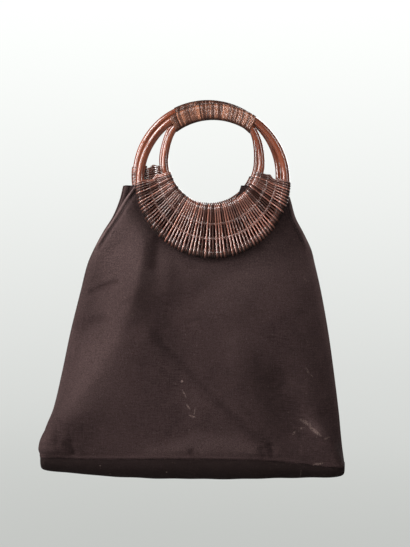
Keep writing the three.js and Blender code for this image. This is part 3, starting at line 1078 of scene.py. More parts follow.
@dataclass
class Handle:
    """One handle: two cane rings, the grip wound over them, and the woven crescent."""

    side: Side
    crescent_depth: float
    shift_x: float
    rise: float
    roll: float
    seed: int
    strands: int = 67
    crowding: float = 0.12
    strand_half_width: float = 1.03 * MM
    strand_taper: float = 0.06
    strand_half_thickness: float = 0.85 * MM
    width_spread: tuple[float, float] = (0.95, 1.05)
    stray: float = 0.13 * MM
    place_jitter: float = 0.0009
    end_bow: float = 2.6 * MM
    end_bow_reach: float = 1.5
    bow_out: tuple[float, float] = (0.4, 0.54)
    bow_back: tuple[float, float] = (0.62, 0.85)
    bow_back_share: float = 0.5
    bow_dip_share: float = 0.5
    leave_angle: float = math.radians(62)
    outer_tone: float = 0.52
    outer_spread: float = 0.22
    outer_darkest: float = 0.15
    # By default the inner layer's strands are near black: painted shade in the windows between the front
    # strands.
    inner_tone: float = 0.0
    inner_spread: float = 0.06
    under_shade: float = 0.5
    core_radius: float = 1.2 * MM
    core_half_height: float = 1.8 * MM
    core_wave: float = 0.95 * MM
    core_tone: float = 0.34
    core_rows: tuple[tuple[float, float], ...] = ((1 / 3, 0.012), (2 / 3, 0.006))
    grip_turns: int = 60
    grip_steps: int = 30
    grip_flare: float = 0.1
    grip_slack: float = 0.3 * MM
    grip_half_width: float = 0.84 * MM
    grip_half_thickness: float = 0.32 * MM
    grip_tone: float = 0.48
    grip_spread: float = 0.27
    grip_under_shade: float = 0.75
    grip_top_shade: float = 0.5
    grip_wobble: tuple[float, float] = (0.06, 0.03)
    ring_swell: tuple[float, float] = (0.008, 0.006)

    bow_dip: ClassVar[Band] = Band(0.36, 0.08)

    def __post_init__(self) -> None:
        """Prepares the random numbers of this handle."""
        self.rng = np.random.default_rng(self.seed)

    @property
    def inner_raise(self) -> float:
        """Height of the inner ring's middle above the outer ring's."""
        return self.crescent_depth - HANDLE.outer_radius + HANDLE.inner_radius

    @property
    def prefix(self) -> str:
        """The first word of this handle's node names."""
        return self.side.name.lower()

    def placed(self, local: Array) -> Array:
        """Points from the handle's own plane to the frame.

        Args:
            local: Points as (across, out of the bag, up) about the outer ring's middle.

        Returns:
            The points as x, y and z.
        """
        x, out, up = local[..., 0], local[..., 1], local[..., 2]
        cosine, sine = math.cos(self.roll), math.sin(self.roll)
        return np.stack(
            [
                x * cosine + up * sine + self.shift_x,
                self.side.value * (out + HANDLE.plane),
                -x * sine + up * cosine + HANDLE.centre_z + self.rise,
            ],
            -1,
        )

    def directed(self, local: Array) -> Array:
        """Directions from the handle's own plane to the frame."""
        return self.placed(local) - self.placed(np.zeros(3))

    def outer_line(self, count: int) -> Array:
        """The outer ring's middle line from the bottom round to the right."""
        angle = 2 * np.pi * np.arange(count) / count
        zero = np.zeros(count)
        return HANDLE.outer_radius * np.stack([np.sin(angle), zero, -np.cos(angle)], 1)

    def inner_line(self, count: int) -> Array:
        """The inner ring's middle line, which joins the outer one along the grip.

        Args:
            count: How many points.

        Returns:
            The points in the handle's plane.
        """
        lower_steps, shoulder_steps, bound_steps = 60, 40, 30
        half = HANDLE.bound_angle / 2
        level, side, reach = self.inner_raise, HANDLE.inner_radius, HANDLE.shoulder_reach
        x = HANDLE.bound_radius * math.sin(half)
        z = HANDLE.bound_radius * math.cos(half)
        lower = np.linspace(-np.pi / 2, 0, lower_steps)
        arc = np.stack([side * np.cos(lower), level + side * np.sin(lower)], 1)
        t = np.linspace(0, 1, shoulder_steps)[1:, None]
        bend = [x + reach * math.cos(half), z - reach * math.sin(half)]
        knots = np.array([[side, level], [side, level + reach], bend, [x, z]])
        shoulder = (
            (1 - t) ** 3 * knots[0]
            + 3 * t * (1 - t) ** 2 * knots[1]
            + 3 * t * t * (1 - t) * knots[2]
            + t**3 * knots[3]
        )
        bound = np.linspace(half, 0, bound_steps)[1:]
        top = HANDLE.bound_radius * np.stack([np.sin(bound), np.cos(bound)], 1)
        right = np.concatenate([arc, shoulder, top])
        left = right[::-1][1:-1] * [-1, 1]
        flat = resample(np.concatenate([right, left]), count, True)
        return np.stack([flat[:, 0], np.zeros(count), flat[:, 1]], 1)

    def ring(self, name: str, line: Array, radius: float, finish: Material) -> Piece:
        """One round cane bent into a ring.

        Args:
            name: The CAD node that it stands for.
            line: Its middle line in the handle's plane.
            radius: Radius of the cane.
            finish: Its material.

        Returns:
            The ring.
        """
        skin = Skin()
        place = np.linspace(0, 2 * np.pi, len(line), endpoint=False)
        broad, fine = self.ring_swell
        swell = 1 + broad * np.sin(5 * place + self.seed) + fine * np.sin(11 * place + 2 * self.seed)
        half = (radius * swell)[:, None].repeat(2, 1)
        out = np.broadcast_to(self.directed(OUTWARD), line.shape)
        skin.sweep(self.placed(line), out, half, CANE_SIDES, ring=True)
        piece = skin.build(f"{name}_cane", finish)
        return dressed(piece, Slot.CANE, name)

    def strand_places(self) -> Array:
        """Places of the strands along the crescent, closer together towards its two ends."""
        u = np.linspace(-1, 1, self.strands)
        return u * (1 + self.crowding * (1 - u * u))

    def strand_ends(self, u: float) -> tuple[Array, Array, Array]:
        """Where a strand at a place along the crescent meets the two rings, and the direction it runs in.

        Args:
            u: Place along the crescent, from -1 to 1.

        Returns:
            Both points, and the unit vector between them.
        """
        inner, outer = u * HANDLE.inner_wound / 2, u * HANDLE.outer_wound / 2
        start = HANDLE.inner_radius * np.array([math.sin(inner), 0.0, -math.cos(inner)])
        start[2] += self.inner_raise
        end = HANDLE.outer_radius * np.array([math.sin(outer), 0.0, -math.cos(outer)])
        return start, end, unit(end - start)

    def strand_path(self, length: float, front: bool) -> Array:
        """One strand seen from its side: on the inner ring, past the two cores, and round the outer ring.

        Args:
            length: Distance between the middles of the two rings.
            front: Whether it lies outside the cores and starts with a whole turn on the inner ring.

        Returns:
            Distance along and height out, one row for each point.
        """
        bedded, level_slope, web_steps = 0.3, 0.12, 7
        turn_steps, part_steps = 17, 5
        bulge = (0.2 if front else 1.7) * MM
        thick = self.strand_half_thickness
        inner = HANDLE.inner_cane / 2 + (thick if front else bedded * thick)
        outer = HANDLE.outer_cane / 2 + thick
        leave = self.leave_angle
        wound = (2 * np.pi, turn_steps) if front else (np.pi / 3, part_steps)
        turn = np.linspace(leave + wound[0], leave, wound[1])
        first = np.stack([inner * np.cos(turn), inner * np.sin(turn)], 1)
        last_turn = np.linspace(np.pi - leave, -np.pi - leave, turn_steps)
        last = np.stack([length + outer * np.cos(last_turn), outer * np.sin(last_turn)], 1)
        lift = self.core_radius + thick - self.core_wave
        at = np.array([first[-1, 0], length / 3, 2 * length / 3, last[0, 0]])
        height = np.array([first[-1, 1], lift, lift, last[0, 1]])
        steep = 1 / math.tan(leave)
        slopes = np.array([-steep, -level_slope, level_slope, steep])
        web = []
        for i in range(3):
            span = at[i + 1] - at[i]
            t = np.linspace(0, 1, web_steps)[1 : web_steps if i < 2 else -1]
            rise = ease(t)
            y = height[i] * (1 - rise) + height[i + 1] * rise
            y = y + span * (slopes[i] * t * (1 - t) ** 2 - slopes[i + 1] * t * t * (1 - t))
            y = y + bulge * np.sin(np.pi * t)
            web.append(np.stack([at[i] + span * t, y], 1))
        path = np.concatenate([first, *web, last])
        return path if front else path * [1, -1]

    def strand(self, skin: Skin, u: float, front: bool, tone: float, end_bend: float) -> None:
        """Adds one strand.

        Args:
            skin: The mesh it goes into.
            u: Its place along the crescent, from -1 to 1.
            front: Whether it lies outside the cores.
            tone: Its colour shift.
            end_bend: How far it bows away from the crescent's end past the first core, in metres.
        """
        start, end, run = self.strand_ends(u)
        length = float(np.linalg.norm(end - start))
        profile = self.strand_path(length, front)
        wide = np.cross(run, OUTWARD)
        share = profile[:, 0] / length
        back = self.bow_back_share * smooth_step(*self.bow_back, share)
        bow = end_bend * (smooth_step(*self.bow_out, share) - back)
        bow = bow - self.bow_dip_share * end_bend * self.bow_dip.share_at(share)
        strays = self.rng.normal(0, self.stray, len(FREE_STRAYS)) * FREE_STRAYS
        wave = np.interp(share, np.linspace(0, 1, len(FREE_STRAYS)), strays)
        across = np.sign(wide[2]) * -bow + wave
        local = start + profile[:, :1] * run + profile[:, 1:] * OUTWARD + across[:, None] * wide
        spread = smooth_step(0.25, 0.75, share)
        half = np.empty((len(profile), 2))
        half[:, 0] = self.strand_half_width * (1 - self.strand_taper * spread)
        half[:, 0] *= self.rng.uniform(*self.width_spread)
        half[:, 1] = self.strand_half_thickness
        facing = np.broadcast_to(self.directed(wide), local.shape)
        outer = HANDLE.outer_cane / 2
        # Painted shade: each strand is darker where it wraps the lower side of the outer ring, most at the
        # crescent's bottom.
        under = smooth_step(length + 0.1 * outer, length + 0.9 * outer, profile[:, 0])
        under = under * self.under_shade * math.cos(u * HANDLE.outer_wound / 2)
        tones = np.clip(tone - under, 0, 1).repeat(STRAND_SIDES)
        skin.sweep(self.placed(local), facing, half, STRAND_SIDES, tone=tones, square=0.95)

    def bow_at(self, from_end: float) -> float:
        """How far a strand bows, from how many strands it is from the crescent's end."""
        return self.end_bow * math.exp(-from_end / self.end_bow_reach)

    def crescent(self, finish: Material) -> Piece:
        """The crescent: two layers of strands, wound round both rings with two cores between them.

        Args:
            finish: The wicker's material.

        Returns:
            The crescent as one joined mesh.
        """
        skin = Skin()
        places = self.strand_places()
        fronts = places + self.rng.normal(0, self.place_jitter, self.strands)
        last = self.strands - 1
        for i, u in enumerate(fronts):
            tone = self.rng.normal(self.outer_tone, self.outer_spread)
            tone = float(np.clip(tone, self.outer_darkest, 1))
            self.strand(skin, u, True, tone, self.bow_at(min(i, last - i)))
        for i, u in enumerate((places[:-1] + places[1:]) / 2):
            # The inner strands' tone, near black on the front handle as painted shade in the windows.
            tone = self.inner_tone + float(self.rng.uniform(0.0, self.inner_spread))
            self.strand(skin, u, False, tone, self.bow_at(min(i, last - 1 - i) + 0.5))
        self.cores(skin)
        piece = skin.build(f"{self.prefix}_woven_crescent_strands", finish)
        return dressed(piece, Slot.WICKER, f"{self.prefix}_woven_crescent")

    def cores(self, skin: Skin) -> None:
        """Adds the two core canes, which bend back at each front strand and forward at each back one.

        Args:
            skin: The mesh they go into.
        """
        places = self.strand_places()
        knots = np.sort(np.concatenate([places, (places[:-1] + places[1:]) / 2]))
        count = np.linspace(0, len(knots) - 1, 4 * len(knots))
        steps = np.interp(count, np.arange(len(knots)), knots)
        phase = count * np.pi
        facing = self.directed(OUTWARD)
        for share, spare in self.core_rows:
            u = np.concatenate([[-1 - spare], steps, [1 + spare]])
            ends = [self.strand_ends(float(place)) for place in u]
            line = np.array([start + (end - start) * share for start, end, _ in ends])
            wave = -self.core_wave * np.cos(np.concatenate([[0.0], phase, [phase[-1]]]))
            line = line + wave[:, None] * OUTWARD
            half = np.tile([self.core_radius, self.core_half_height], (len(line), 1))
            across = np.broadcast_to(facing, line.shape)
            skin.sweep(self.placed(line), across, half, STRAND_SIDES, tone=self.core_tone)

    def grip(self, finish: Material) -> Piece:
        """Flat cane wound side by side round both rings along the top.

        Args:
            finish: The binding cane's material.

        Returns:
            The grip as one mesh.
        """
        skin = Skin()
        total = self.grip_turns * self.grip_steps
        turn = np.arange(total + 1) / self.grip_steps
        phase = (turn % 1.0) * 2 * np.pi
        flare = 1 + self.grip_flare * (1 - np.cos(phase)) / 2
        angle = HANDLE.grip_angle * (turn / self.grip_turns - 0.5) * flare
        radial = np.stack([np.sin(angle), np.zeros(total + 1), np.cos(angle)], 1)
        spare = HANDLE.clearance + self.grip_slack
        outer, inner = HANDLE.outer_cane / 2 + spare, HANDLE.inner_cane / 2 + spare
        high = np.cos(phase)
        under = -HANDLE.spacing * smooth_step(0, 0.55, -high) + inner * high
        reach = np.where(high >= 0, outer * high, under)
        side = np.where(high >= 0, outer, inner) * np.sin(phase)
        local = radial * (HANDLE.outer_radius + reach)[:, None]
        local[:, 1] += side
        tangent = np.stack([np.cos(angle), np.zeros(total + 1), -np.sin(angle)], 1)
        broad, fine = self.grip_wobble
        wobble = 1 + broad * np.sin(turn * 2.3 + self.seed) + fine * np.sin(turn * 7.1)
        thickness = np.full(total + 1, self.grip_half_thickness)
        half = np.stack([self.grip_half_width * wobble, thickness], 1)
        shades = self.rng.normal(self.grip_tone, self.grip_spread, self.grip_turns + 2)
        tones = shades[np.floor(turn + 0.5).astype(int)]
        # Painted shade: each turn is darker under the grip and along its top, which leaves the middle
        # brightest.
        tones = tones - self.grip_under_shade * smooth_step(0.38, 0.7, -high)
        tones = tones - self.grip_top_shade * smooth_step(0.5, 1, high)
        tones = np.clip(tones, 0, 1).repeat(BAND_SIDES)
        skin.sweep(
            self.placed(local), self.directed(tangent), half, BAND_SIDES, tone=tones, square=0.7
        )
        piece = skin.build(f"{self.prefix}_grip_wrap_turns", finish)
        return dressed(piece, Slot.BINDING, f"{self.prefix}_grip_wrap")

    def make(self, finishes: "Finishes") -> list[Piece]:
        """Builds every piece of this handle.

        Args:
            finishes: The materials of the bag.

        Returns:
            The pieces.
        """
        outer, inner = f"{self.prefix}_outer_ring", f"{self.prefix}_inner_ring"
        return [
            self.ring(outer, self.outer_line(220), HANDLE.outer_cane / 2, finishes.cane),
            self.ring(inner, self.inner_line(200), HANDLE.inner_cane / 2, finishes.cane),
            self.crescent(finishes.wicker),
            self.grip(finishes.binding),
        ]


def dressed(piece: Piece, slot: Slot, *nodes: str) -> Piece:
    """Puts a finished piece on the bag in place of its CAD nodes."""
    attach(piece, "root")
    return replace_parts(piece, *nodes)


CREST_SOFTNESS = 5 * MM
SMALL_CREASE = 2
# Metres of relief for each step of painted shade: strong dark lines in small creases, faint shade over
# broad folds.
SMALL_CREASE_SHADING = 8 * MM
FOLD_SHADING = 90 * MM


@dataclass(frozen=True)
class Crease:
    """A ridge or dent of the cloth along a line, in millimetres across and up in the frame.

    The left and right widths are those of its two flanks, seen along the line. The crest is 2 for a
    round one and 1 for a sharp one.
    """

    side: Side
    line: tuple[tuple[float, float], ...]
    height: float
    left: float
    right: float
    crest: float = 2.0

    @property
    def relief_shading(self) -> float:
        """Painted shade and light for each metre of relief, darker in dents and paler on ridges, more for a
        small crease than for a broad fold.
        """
        return 1 / (SMALL_CREASE_SHADING if abs(self.height) < SMALL_CREASE else FOLD_SHADING)

    def relief(self, x: Array, z: Array) -> Array:
        """How far it pushes the cloth out at each place, in metres.

        Args:
            x: Places across, in metres.
            z: Places up, in metres.

        Returns:
            The relief.
        """
        points = np.array(self.line) * MM
        nearest = np.full(x.shape, np.inf)
        lean = np.zeros(x.shape)
        for start, end in zip(points, points[1:]):
            run = end - start
            away = away_from(start, run, x, z)
            turned = ((x - start[0]) * run[1] - (z - start[1]) * run[0]) / np.linalg.norm(run)
            nearer = away < nearest
            lean = np.where(nearer, turned / np.maximum(away, 1e-9), lean)
            nearest = np.where(nearer, away, nearest)
        lean = np.clip(lean, -1, 1)
        width = ((self.left + self.right) / 2 + (self.right - self.left) / 2 * lean) * MM
        soft = CREST_SOFTNESS if self.crest < 2 else 0.0
        eased = np.hypot(nearest, soft) - soft
        return self.height * MM * np.exp(-((eased / width) ** self.crest))


@dataclass(frozen=True)
class PaintedLightPatch:
    """A soft oval of paler or darker cloth, in millimetres across and up in the frame.

    The share is above 0 where light is painted on, and below 0 where shade is painted on.
    """

    side: Side
    x: float
    z: float
    wide: float
    high: float
    turn: float
    share: float

    def amount(self, x: Array, z: Array) -> Array:
        """Its share at each place.

        Args:
            x: Places across, in metres.
            z: Places up, in metres.

        Returns:
            The share.
        """
        turn = math.radians(self.turn)
        along = (x - self.x * MM) * math.cos(turn) + (z - self.z * MM) * math.sin(turn)
        across = (z - self.z * MM) * math.cos(turn) - (x - self.x * MM) * math.sin(turn)
        far = (along / (self.wide * MM)) ** 2 + (across / (self.high * MM)) ** 2
        return self.share * np.exp(-far)


@dataclass(frozen=True)
class Fold:
    """A broad fold from one place of a panel to another.

    Each place is across from -1 to 1 and down from 0 to 1. The height is a share of the bag's depth, and
    the width one of the bag's width.
    """

    side: Side
    start: tuple[float, float]
    end: tuple[float, float]
    height: float
    width: float


@dataclass(frozen=True)
class Scoop:
    """The round cut in a panel's top edge."""

    x: float
    radius: float


@dataclass(frozen=True)
class PanelFace:
    """A panel's outer face by rows and columns.

    Each grid point has its cloth coordinates, its wear, its tone, and how far it lies from the nearer
    side edge and from the top edge.
    """

    points: Array
    cloth: Array
    worn: Array
    tone: Array
    edge: Array
    down: Array


@dataclass(frozen=True)
class Seams:
    """A panel's outer face, with what the lines of stitches on it need."""

    points: Array
    out: Array
    edge: Array
    down: Array

    @staticmethod
    def crossing(distance: Array, wanted: float) -> tuple[Array, Array]:
        """Points where a distance that falls along the last axis reaches a value, one for each line.

        Args:
            distance: The distance at each grid point, by lines.
            wanted: The value.

        Returns:
            The number of the grid point before the crossing, and the share of the way to the next.
        """
        first = np.clip((distance > wanted).sum(1) - 1, 0, distance.shape[1] - 2)
        rows = np.arange(len(distance))
        before, after = distance[rows, first], distance[rows, first + 1]
        fall = np.where(before == after, 1, before - after)
        return first, np.clip((before - wanted) / fall, 0, 1)

    @staticmethod
    def towards(grid: Array, flip: int, rows: bool) -> Array:
        """The grid turned so that each of its lines runs towards the edge."""
        turned = grid if rows else np.swapaxes(grid, 0, 1)
        return turned[:, ::flip]

    def line(self, distance: Array, wanted: float, flip: int, rows: bool) -> tuple[Array, Array]:
        """The line on the face at a distance from one of its edges.

        Args:
            distance: The distance at each grid point.
            wanted: How far in the line lies.
            flip: 1, or -1 where the edge is the first along its axis.
            rows: Whether the line has one point for each row of the grid.

        Returns:
            Its points and the unit vectors away from the cloth.
        """
        first, share = self.crossing(self.towards(distance, flip, rows), wanted)
        share = share[:, None]
        number = np.arange(len(first))
        made = []
        for grid in (self.points, self.out):
            lines = self.towards(grid, flip, rows)
            made.append(lines[number, first] * (1 - share) + lines[number, first + 1] * share)
        return made[0], unit(made[1])

    def lines(self, inset: float, slit_height: float) -> list[tuple[Array, Array]]:
        """Every line of stitches: the top hem and the two slits.

        Args:
            inset: How far the lines lie from the edges, in metres.
            slit_height: How far down the slits reach, in metres.

        Returns:
            The points and outward directions of each line.
        """
        points, out = self.line(self.down, inset, -1, False)
        inside = self.edge[0] > 2 * inset
        found = [(points[inside], out[inside])]
        in_slit = self.down[:, 0] < slit_height
        half = self.edge.shape[1] // 2
        for first, flip in ((0, -1), (half, 1)):
            grids = (self.points, self.out, self.edge, self.down)
            part = Seams(*(grid[:, first : first + half + 1] for grid in grids))
            points, out = part.line(part.edge, inset, flip, True)
            found.append((points[in_slit], out[in_slit]))
        return found


@dataclass
class CanvasBody:
    """The canvas body: two panels and the gusset between their bottom seams."""

    canvas: float = 1.5 * MM
    clearance: float = 0.3 * MM
    top_edge_below: float = 6.2 * MM
    height: float = 318.5 * MM
    width: float = 360 * MM
    bottom_depth: float = 60 * MM
    top_depth: float = 16 * MM
    gusset_sag: float = 26.5 * MM
    panel_lean: float = 14 * MM
    back_rise: float = 2.2 * MM
    scoop_above: float = 5.4 * MM
    corner_softness: float = 5.0
    fold_fade: float = 10.0
    fullness: float = 0.85
    handle_holds: float = 88 * MM
    handle_frees: float = 112 * MM
    scoop_tries: int = 30
    columns: int = 208
    rows: int = 208
    gusset_rows: int = 40
    stitch_in: float = 6 * MM
    stitch_pitch: float = 3.6 * MM
    thread_radius: float = 0.3 * MM
    slit_height: float = 72 * MM
    slit_end: tuple[float, float] = (0.2, 0.24)
    broad_ripple: tuple[float, float, float] = (0.55 * MM, 0.075, 1.8)
    fine_ripple: tuple[float, float] = (0.22 * MM, 0.028)
    bead_height: float = 2.0 * MM
    groove_depth: float = 1.0 * MM
    lip_height: float = 0.7 * MM
    hem_height: float = 0.4 * MM
    groove_shade: float = 0.5
    seam_shade: float = 0.6
    # How dark and how pale the painted shade and light of the creases may go.
    relief_shading_limits: tuple[float, float] = (-0.35, 0.07)
    side_calm: float = 12 * MM
    foot_calm: float = 10 * MM
    lip_start: float = 6 * MM
    gusset_calm: float = 14 * MM
    gusset_ripple: tuple[float, float, int] = (0.5 * MM, 0.05, 31)
    gusset_curve: float = 1.4
    least_depth: float = 0.1 * MM
    sharp_edge: float = math.radians(50)
    seams: dict[Side, Seams] = field(default_factory=dict)

    slit_bead: ClassVar[Band] = Band(1.8 * MM, 2.2 * MM)
    slit_groove: ClassVar[Band] = Band(6 * MM, 1.6 * MM)
    seam_lip: ClassVar[Band] = Band(2.2 * MM, 1.6 * MM)
    top_hem: ClassVar[Band] = Band(1.5 * MM, 2.2 * MM)
    side_rub: ClassVar[Band] = Band(0.0, 5 * MM)
    seam_shadow: ClassVar[Band] = Band(0.0, 0.9 * MM)
    # Pale hem beads of the slits: rubbed wear that also stands as a painted highlight, stronger on the
    # front.
    rubbed: ClassVar[dict[Side, float]] = {Side.FRONT: 0.8, Side.BACK: 0.4}
    side_wear: ClassVar[float] = 0.2
    ripple_seeds: ClassVar[dict[Side, int]] = {Side.FRONT: 11, Side.BACK: 23}

    # Each level section, by how far down the panel it lies. The columns are shares: of the width to its
    # left and right edges, of the depth, of the slits' gape, of its half width to the fold and to the
    # corner, and of the back panel's lean.
    # drop, left, right, depth, gape, fold, corner, lean
    sections: ClassVar[tuple[tuple[float, ...], ...]] = (
        (0.0, 0.258, 0.241, 0.0, 0.93, 0.55, 0.55, 1.0),
        (0.053, 0.292, 0.255, 0.0, 0.8, 0.55, 0.55, 0.42),
        (0.115, 0.325, 0.271, 0.0, 0.5, 0.55, 0.55, 0.14),
        (0.17, 0.358, 0.297, 0.0, 0.22, 0.55, 0.55, 0.06),
        (0.234, 0.391, 0.323, 0.0, 0.0, 0.55, 0.55, 0.0),
        (0.291, 0.413, 0.336, 0.02, 0.0, 0.55, 0.55, 0.0),
        (0.383, 0.434, 0.355, 0.12, 0.0, 0.555, 0.56, 0.0),
        (0.537, 0.468, 0.38, 0.33, 0.0, 0.6, 0.61, 0.0),
        (0.687, 0.496, 0.399, 0.55, 0.0, 0.68, 0.7, 0.0),
        (0.819, 0.524, 0.414, 0.76, 0.0, 0.77, 0.81, 0.0),
        (0.888, 0.549, 0.42, 0.86, 0.0, 0.82, 0.88, 0.0),
        (0.943, 0.564, 0.4255, 0.94, 0.0, 0.85, 0.94, 0.0),
        (1.0, 0.567, 0.433, 1.0, 0.0, 0.856, 0.985, 0.0),
    )
    # The bottom seam, by place across: how much lower it hangs than the panel's height, and the share of
    # the gusset's sag there.
    # along, low, sag
    bottom: ClassVar[tuple[tuple[float, ...], ...]] = (
        (-1.0, 0.004, 0.4),
        (-0.8, -0.004, 0.69),
        (-0.6, 0.0, 0.79),
        (-0.4, 0.0, 0.92),
        (0.0, 0.0, 1.0),
        (0.4, 0.006, 0.9),
        (0.62, 0.018, 0.71),
        (0.78, 0.031, 0.53),
        (1.0, 0.03, 0.35),
    )
    folds: ClassVar[tuple[Fold, ...]] = (
        Fold(Side.FRONT, (-0.38, 0.56), (0.5, 0.95), 0.035, 0.05),
        Fold(Side.FRONT, (0.62, 0.84), (0.7, 0.93), -0.05, 0.06),
        Fold(Side.FRONT, (-0.2, 0.4), (-0.1, 0.75), -0.03, 0.11),
        Fold(Side.FRONT, (0.45, 0.4), (0.62, 0.7), -0.03, 0.09),
        Fold(Side.BACK, (0.4, 0.5), (-0.45, 0.92), 0.035, 0.05),
        Fold(Side.BACK, (-0.1, 0.4), (0.1, 0.75), -0.03, 0.12),
    )
    creases: ClassVar[tuple[Crease, ...]] = (
        Crease(
            Side.FRONT,
            ((-74, -120), (-84, -167), (-94, -212), (-110, -264), (-135, -301), (-161, -335), (-185, -376)),
            7.0, 25, 40, 1.0,
        ),
        Crease(Side.FRONT, ((-74, -258), (-35, -296), (-4, -330), (61, -388)), 4.0, 8, 26, 1.0),
        Crease(Side.FRONT, ((-74, -120), (-82, -160), (-92, -205)), 4.0, 12, 30, 1.0),
        Crease(Side.FRONT, ((-66, -254), (-28, -291), (4, -325), (68, -383)), -1.3, 3.5, 9),
        Crease(Side.FRONT, ((-67, -141), (-71, -170)), -1.8, 6, 7),
        Crease(Side.FRONT, ((-50, -152), (-55, -200)), 1.6, 10, 10),
        Crease(Side.FRONT, ((70, -150), (36, -196), (-30, -232)), 1.1, 14, 14),
        Crease(Side.FRONT, ((-29, -238), (-15, -233)), -0.6, 3, 3),
        Crease(Side.FRONT, ((84, -312), (102, -352)), -8.0, 22, 34),
        Crease(Side.FRONT, ((36, -270), (42, -330)), 1.6, 22, 18),
        Crease(Side.FRONT, ((-142, -201), (-131, -195.5), (-112, -189.5)), -1.2, 3, 4),
        Crease(Side.FRONT, ((-176, -358), (-180, -376)), -1.8, 4, 5),
        Crease(Side.FRONT, ((-165, -376), (-158, -397)), -1.95, 3.5, 4),
        Crease(Side.FRONT, ((-172, -378), (-162, -389)), -1.7, 3, 3),
        Crease(Side.FRONT, ((-27, -399), (-25, -386)), -1.3, 3, 3),
        Crease(Side.FRONT, ((57.4, -367), (70, -377)), -1.5, 5, 6),
        Crease(Side.FRONT, ((57, -384), (63, -401)), -1.7, 3, 4),
        Crease(Side.FRONT, ((66, -380), (72, -401)), -1.7, 3, 4),
        Crease(Side.FRONT, ((57, -124), (73, -147)), 1.3, 6, 6),
        Crease(Side.FRONT, ((55, -149.5), (78, -153)), -0.8, 4, 4),
        Crease(Side.FRONT, ((-38, -330), (-38, -372), (-58, -384)), -0.5, 9, 12),
        Crease(Side.FRONT, ((-70, -388), (-20, -372), (50, -386)), 0.8, 8, 14),
        Crease(Side.FRONT, ((100, -366), (132, -376)), -1.2, 4, 6),
        Crease(Side.FRONT, ((108, -346), (124, -362)), 1.0, 5, 5),
        Crease(Side.FRONT, ((-160, -240), (-128, -232)), -0.7, 6, 8),
        Crease(Side.FRONT, ((-92, -100), (-118, -140)), 1.2, 10, 12),
        Crease(Side.BACK, ((80, -120), (92, -210), (118, -290), (170, -370)), 4.0, 24, 34),
        Crease(Side.BACK, ((-60, -150), (-72, -185)), 1.3, 6, 6),
        Crease(Side.BACK, ((90, -200), (60, -240)), -1.2, 5, 5),
        Crease(Side.BACK, ((40, -250), (-4, -322), (-50, -380)), 2.6, 8, 24, 1.0),
        Crease(Side.BACK, ((-20, -398), (-12, -372)), -1.3, 4, 4),
        Crease(Side.BACK, ((-110, -300), (-120, -360)), -3.0, 24, 24),
        Crease(Side.BACK, ((60, -398), (66, -380)), -1.3, 4, 4),
    )
    # Soft patches of painted light and painted shade on the cloth.
    painted_light_patches: ClassVar[tuple[PaintedLightPatch, ...]] = (
        PaintedLightPatch(Side.FRONT, -112, -135, 42, 62, 20, 0.16),
        PaintedLightPatch(Side.FRONT, -134, -275, 24, 66, -16, 0.1),
        PaintedLightPatch(Side.FRONT, 0, -170, 110, 26, 0, 0.14),
        PaintedLightPatch(Side.FRONT, 40, -205, 60, 26, 48, 0.06),
        PaintedLightPatch(Side.FRONT, -64, -250, 30, 70, -10, -0.16),
        PaintedLightPatch(Side.FRONT, 48, -310, 26, 46, 0, -0.13),
        PaintedLightPatch(Side.FRONT, 84, -342, 24, 26, 0, -0.12),
        PaintedLightPatch(Side.FRONT, -150, -372, 34, 26, 0, -0.14),
        PaintedLightPatch(Side.FRONT, -50, -352, 50, 14, 10, -0.06),
        PaintedLightPatch(Side.FRONT, -15, -380, 62, 14, 0, 0.1),
        PaintedLightPatch(Side.FRONT, 118, -362, 22, 16, -20, 0.12),
        PaintedLightPatch(Side.FRONT, 120, -395, 30, 14, 0, -0.12),
        PaintedLightPatch(Side.BACK, 70, -160, 60, 40, 10, 0.12),
        PaintedLightPatch(Side.BACK, -60, -300, 60, 40, 30, -0.1),
        PaintedLightPatch(Side.BACK, 40, -350, 70, 26, -20, 0.08),
        PaintedLightPatch(Side.BACK, 0, -180, 90, 26, 0, 0.1),
    )
    scoops: ClassVar[dict[Side, Scoop]] = {
        Side.FRONT: Scoop(0.0, 48.4 * MM),
        Side.BACK: Scoop(-7.7 * MM, 42.2 * MM),
    }

    @property
    def top_z(self) -> float:
        """Height of the panels' top edges in the frame."""
        return HANDLE.centre_z - self.top_edge_below

    def softened(self, t: Array) -> Array:
        """The lower of t and 1, with a rounded corner."""
        return t / (1 + t**self.corner_softness) ** (1 / self.corner_softness)

    def section_point(self, s: Array, drop: Array) -> tuple[Array, Array, Array]:
        """A point of the body's level section.

        Args:
            s: Place from the left edge, -1, to the right edge, 1.
            drop: How far down the panel, from 0 to 1.

        Returns:
            Its place across, its distance from the middle plane, and how open the panel is there.
        """
        left, right, depth_share, gape, fold, corner = (
            table_at(self.sections, column, drop) for column in Section if column is not Section.LEAN
        )
        left, right = left * self.width, right * self.width
        half = (left + right) / 2
        depth = self.top_depth / 2 + (self.bottom_depth - self.top_depth) / 2 * depth_share
        run_x = (1 - corner) * half
        run_x = run_x / np.hypot(run_x, depth)
        seam = self.clearance / 2 + self.canvas * run_x
        edge = np.maximum(gape * self.top_depth / 2, seam)
        q = (1 - np.abs(s)) / (1 - fold)
        opened = self.softened(q) / self.softened(1 / (1 - fold))
        flat = (q - opened) * (1 - fold) / fold
        share = 1 - (1 - corner) * opened - corner * flat
        x = (right - left) / 2 + np.sign(s) * half * share
        return x, edge + (depth - edge) * opened, opened

    def across(self, side: Side, s: Array, drop: Array) -> Array:
        """Place across of a point of a panel, after the back panel's lean.

        Args:
            side: Which panel.
            s: Place from edge to edge, -1 to 1.
            drop: How far down, 0 to 1.

        Returns:
            The place in metres.
        """
        x, _, _ = self.section_point(s, drop)
        if side is Side.BACK:
            x = x - table_at(self.sections, Section.LEAN, drop) * self.panel_lean
        return x

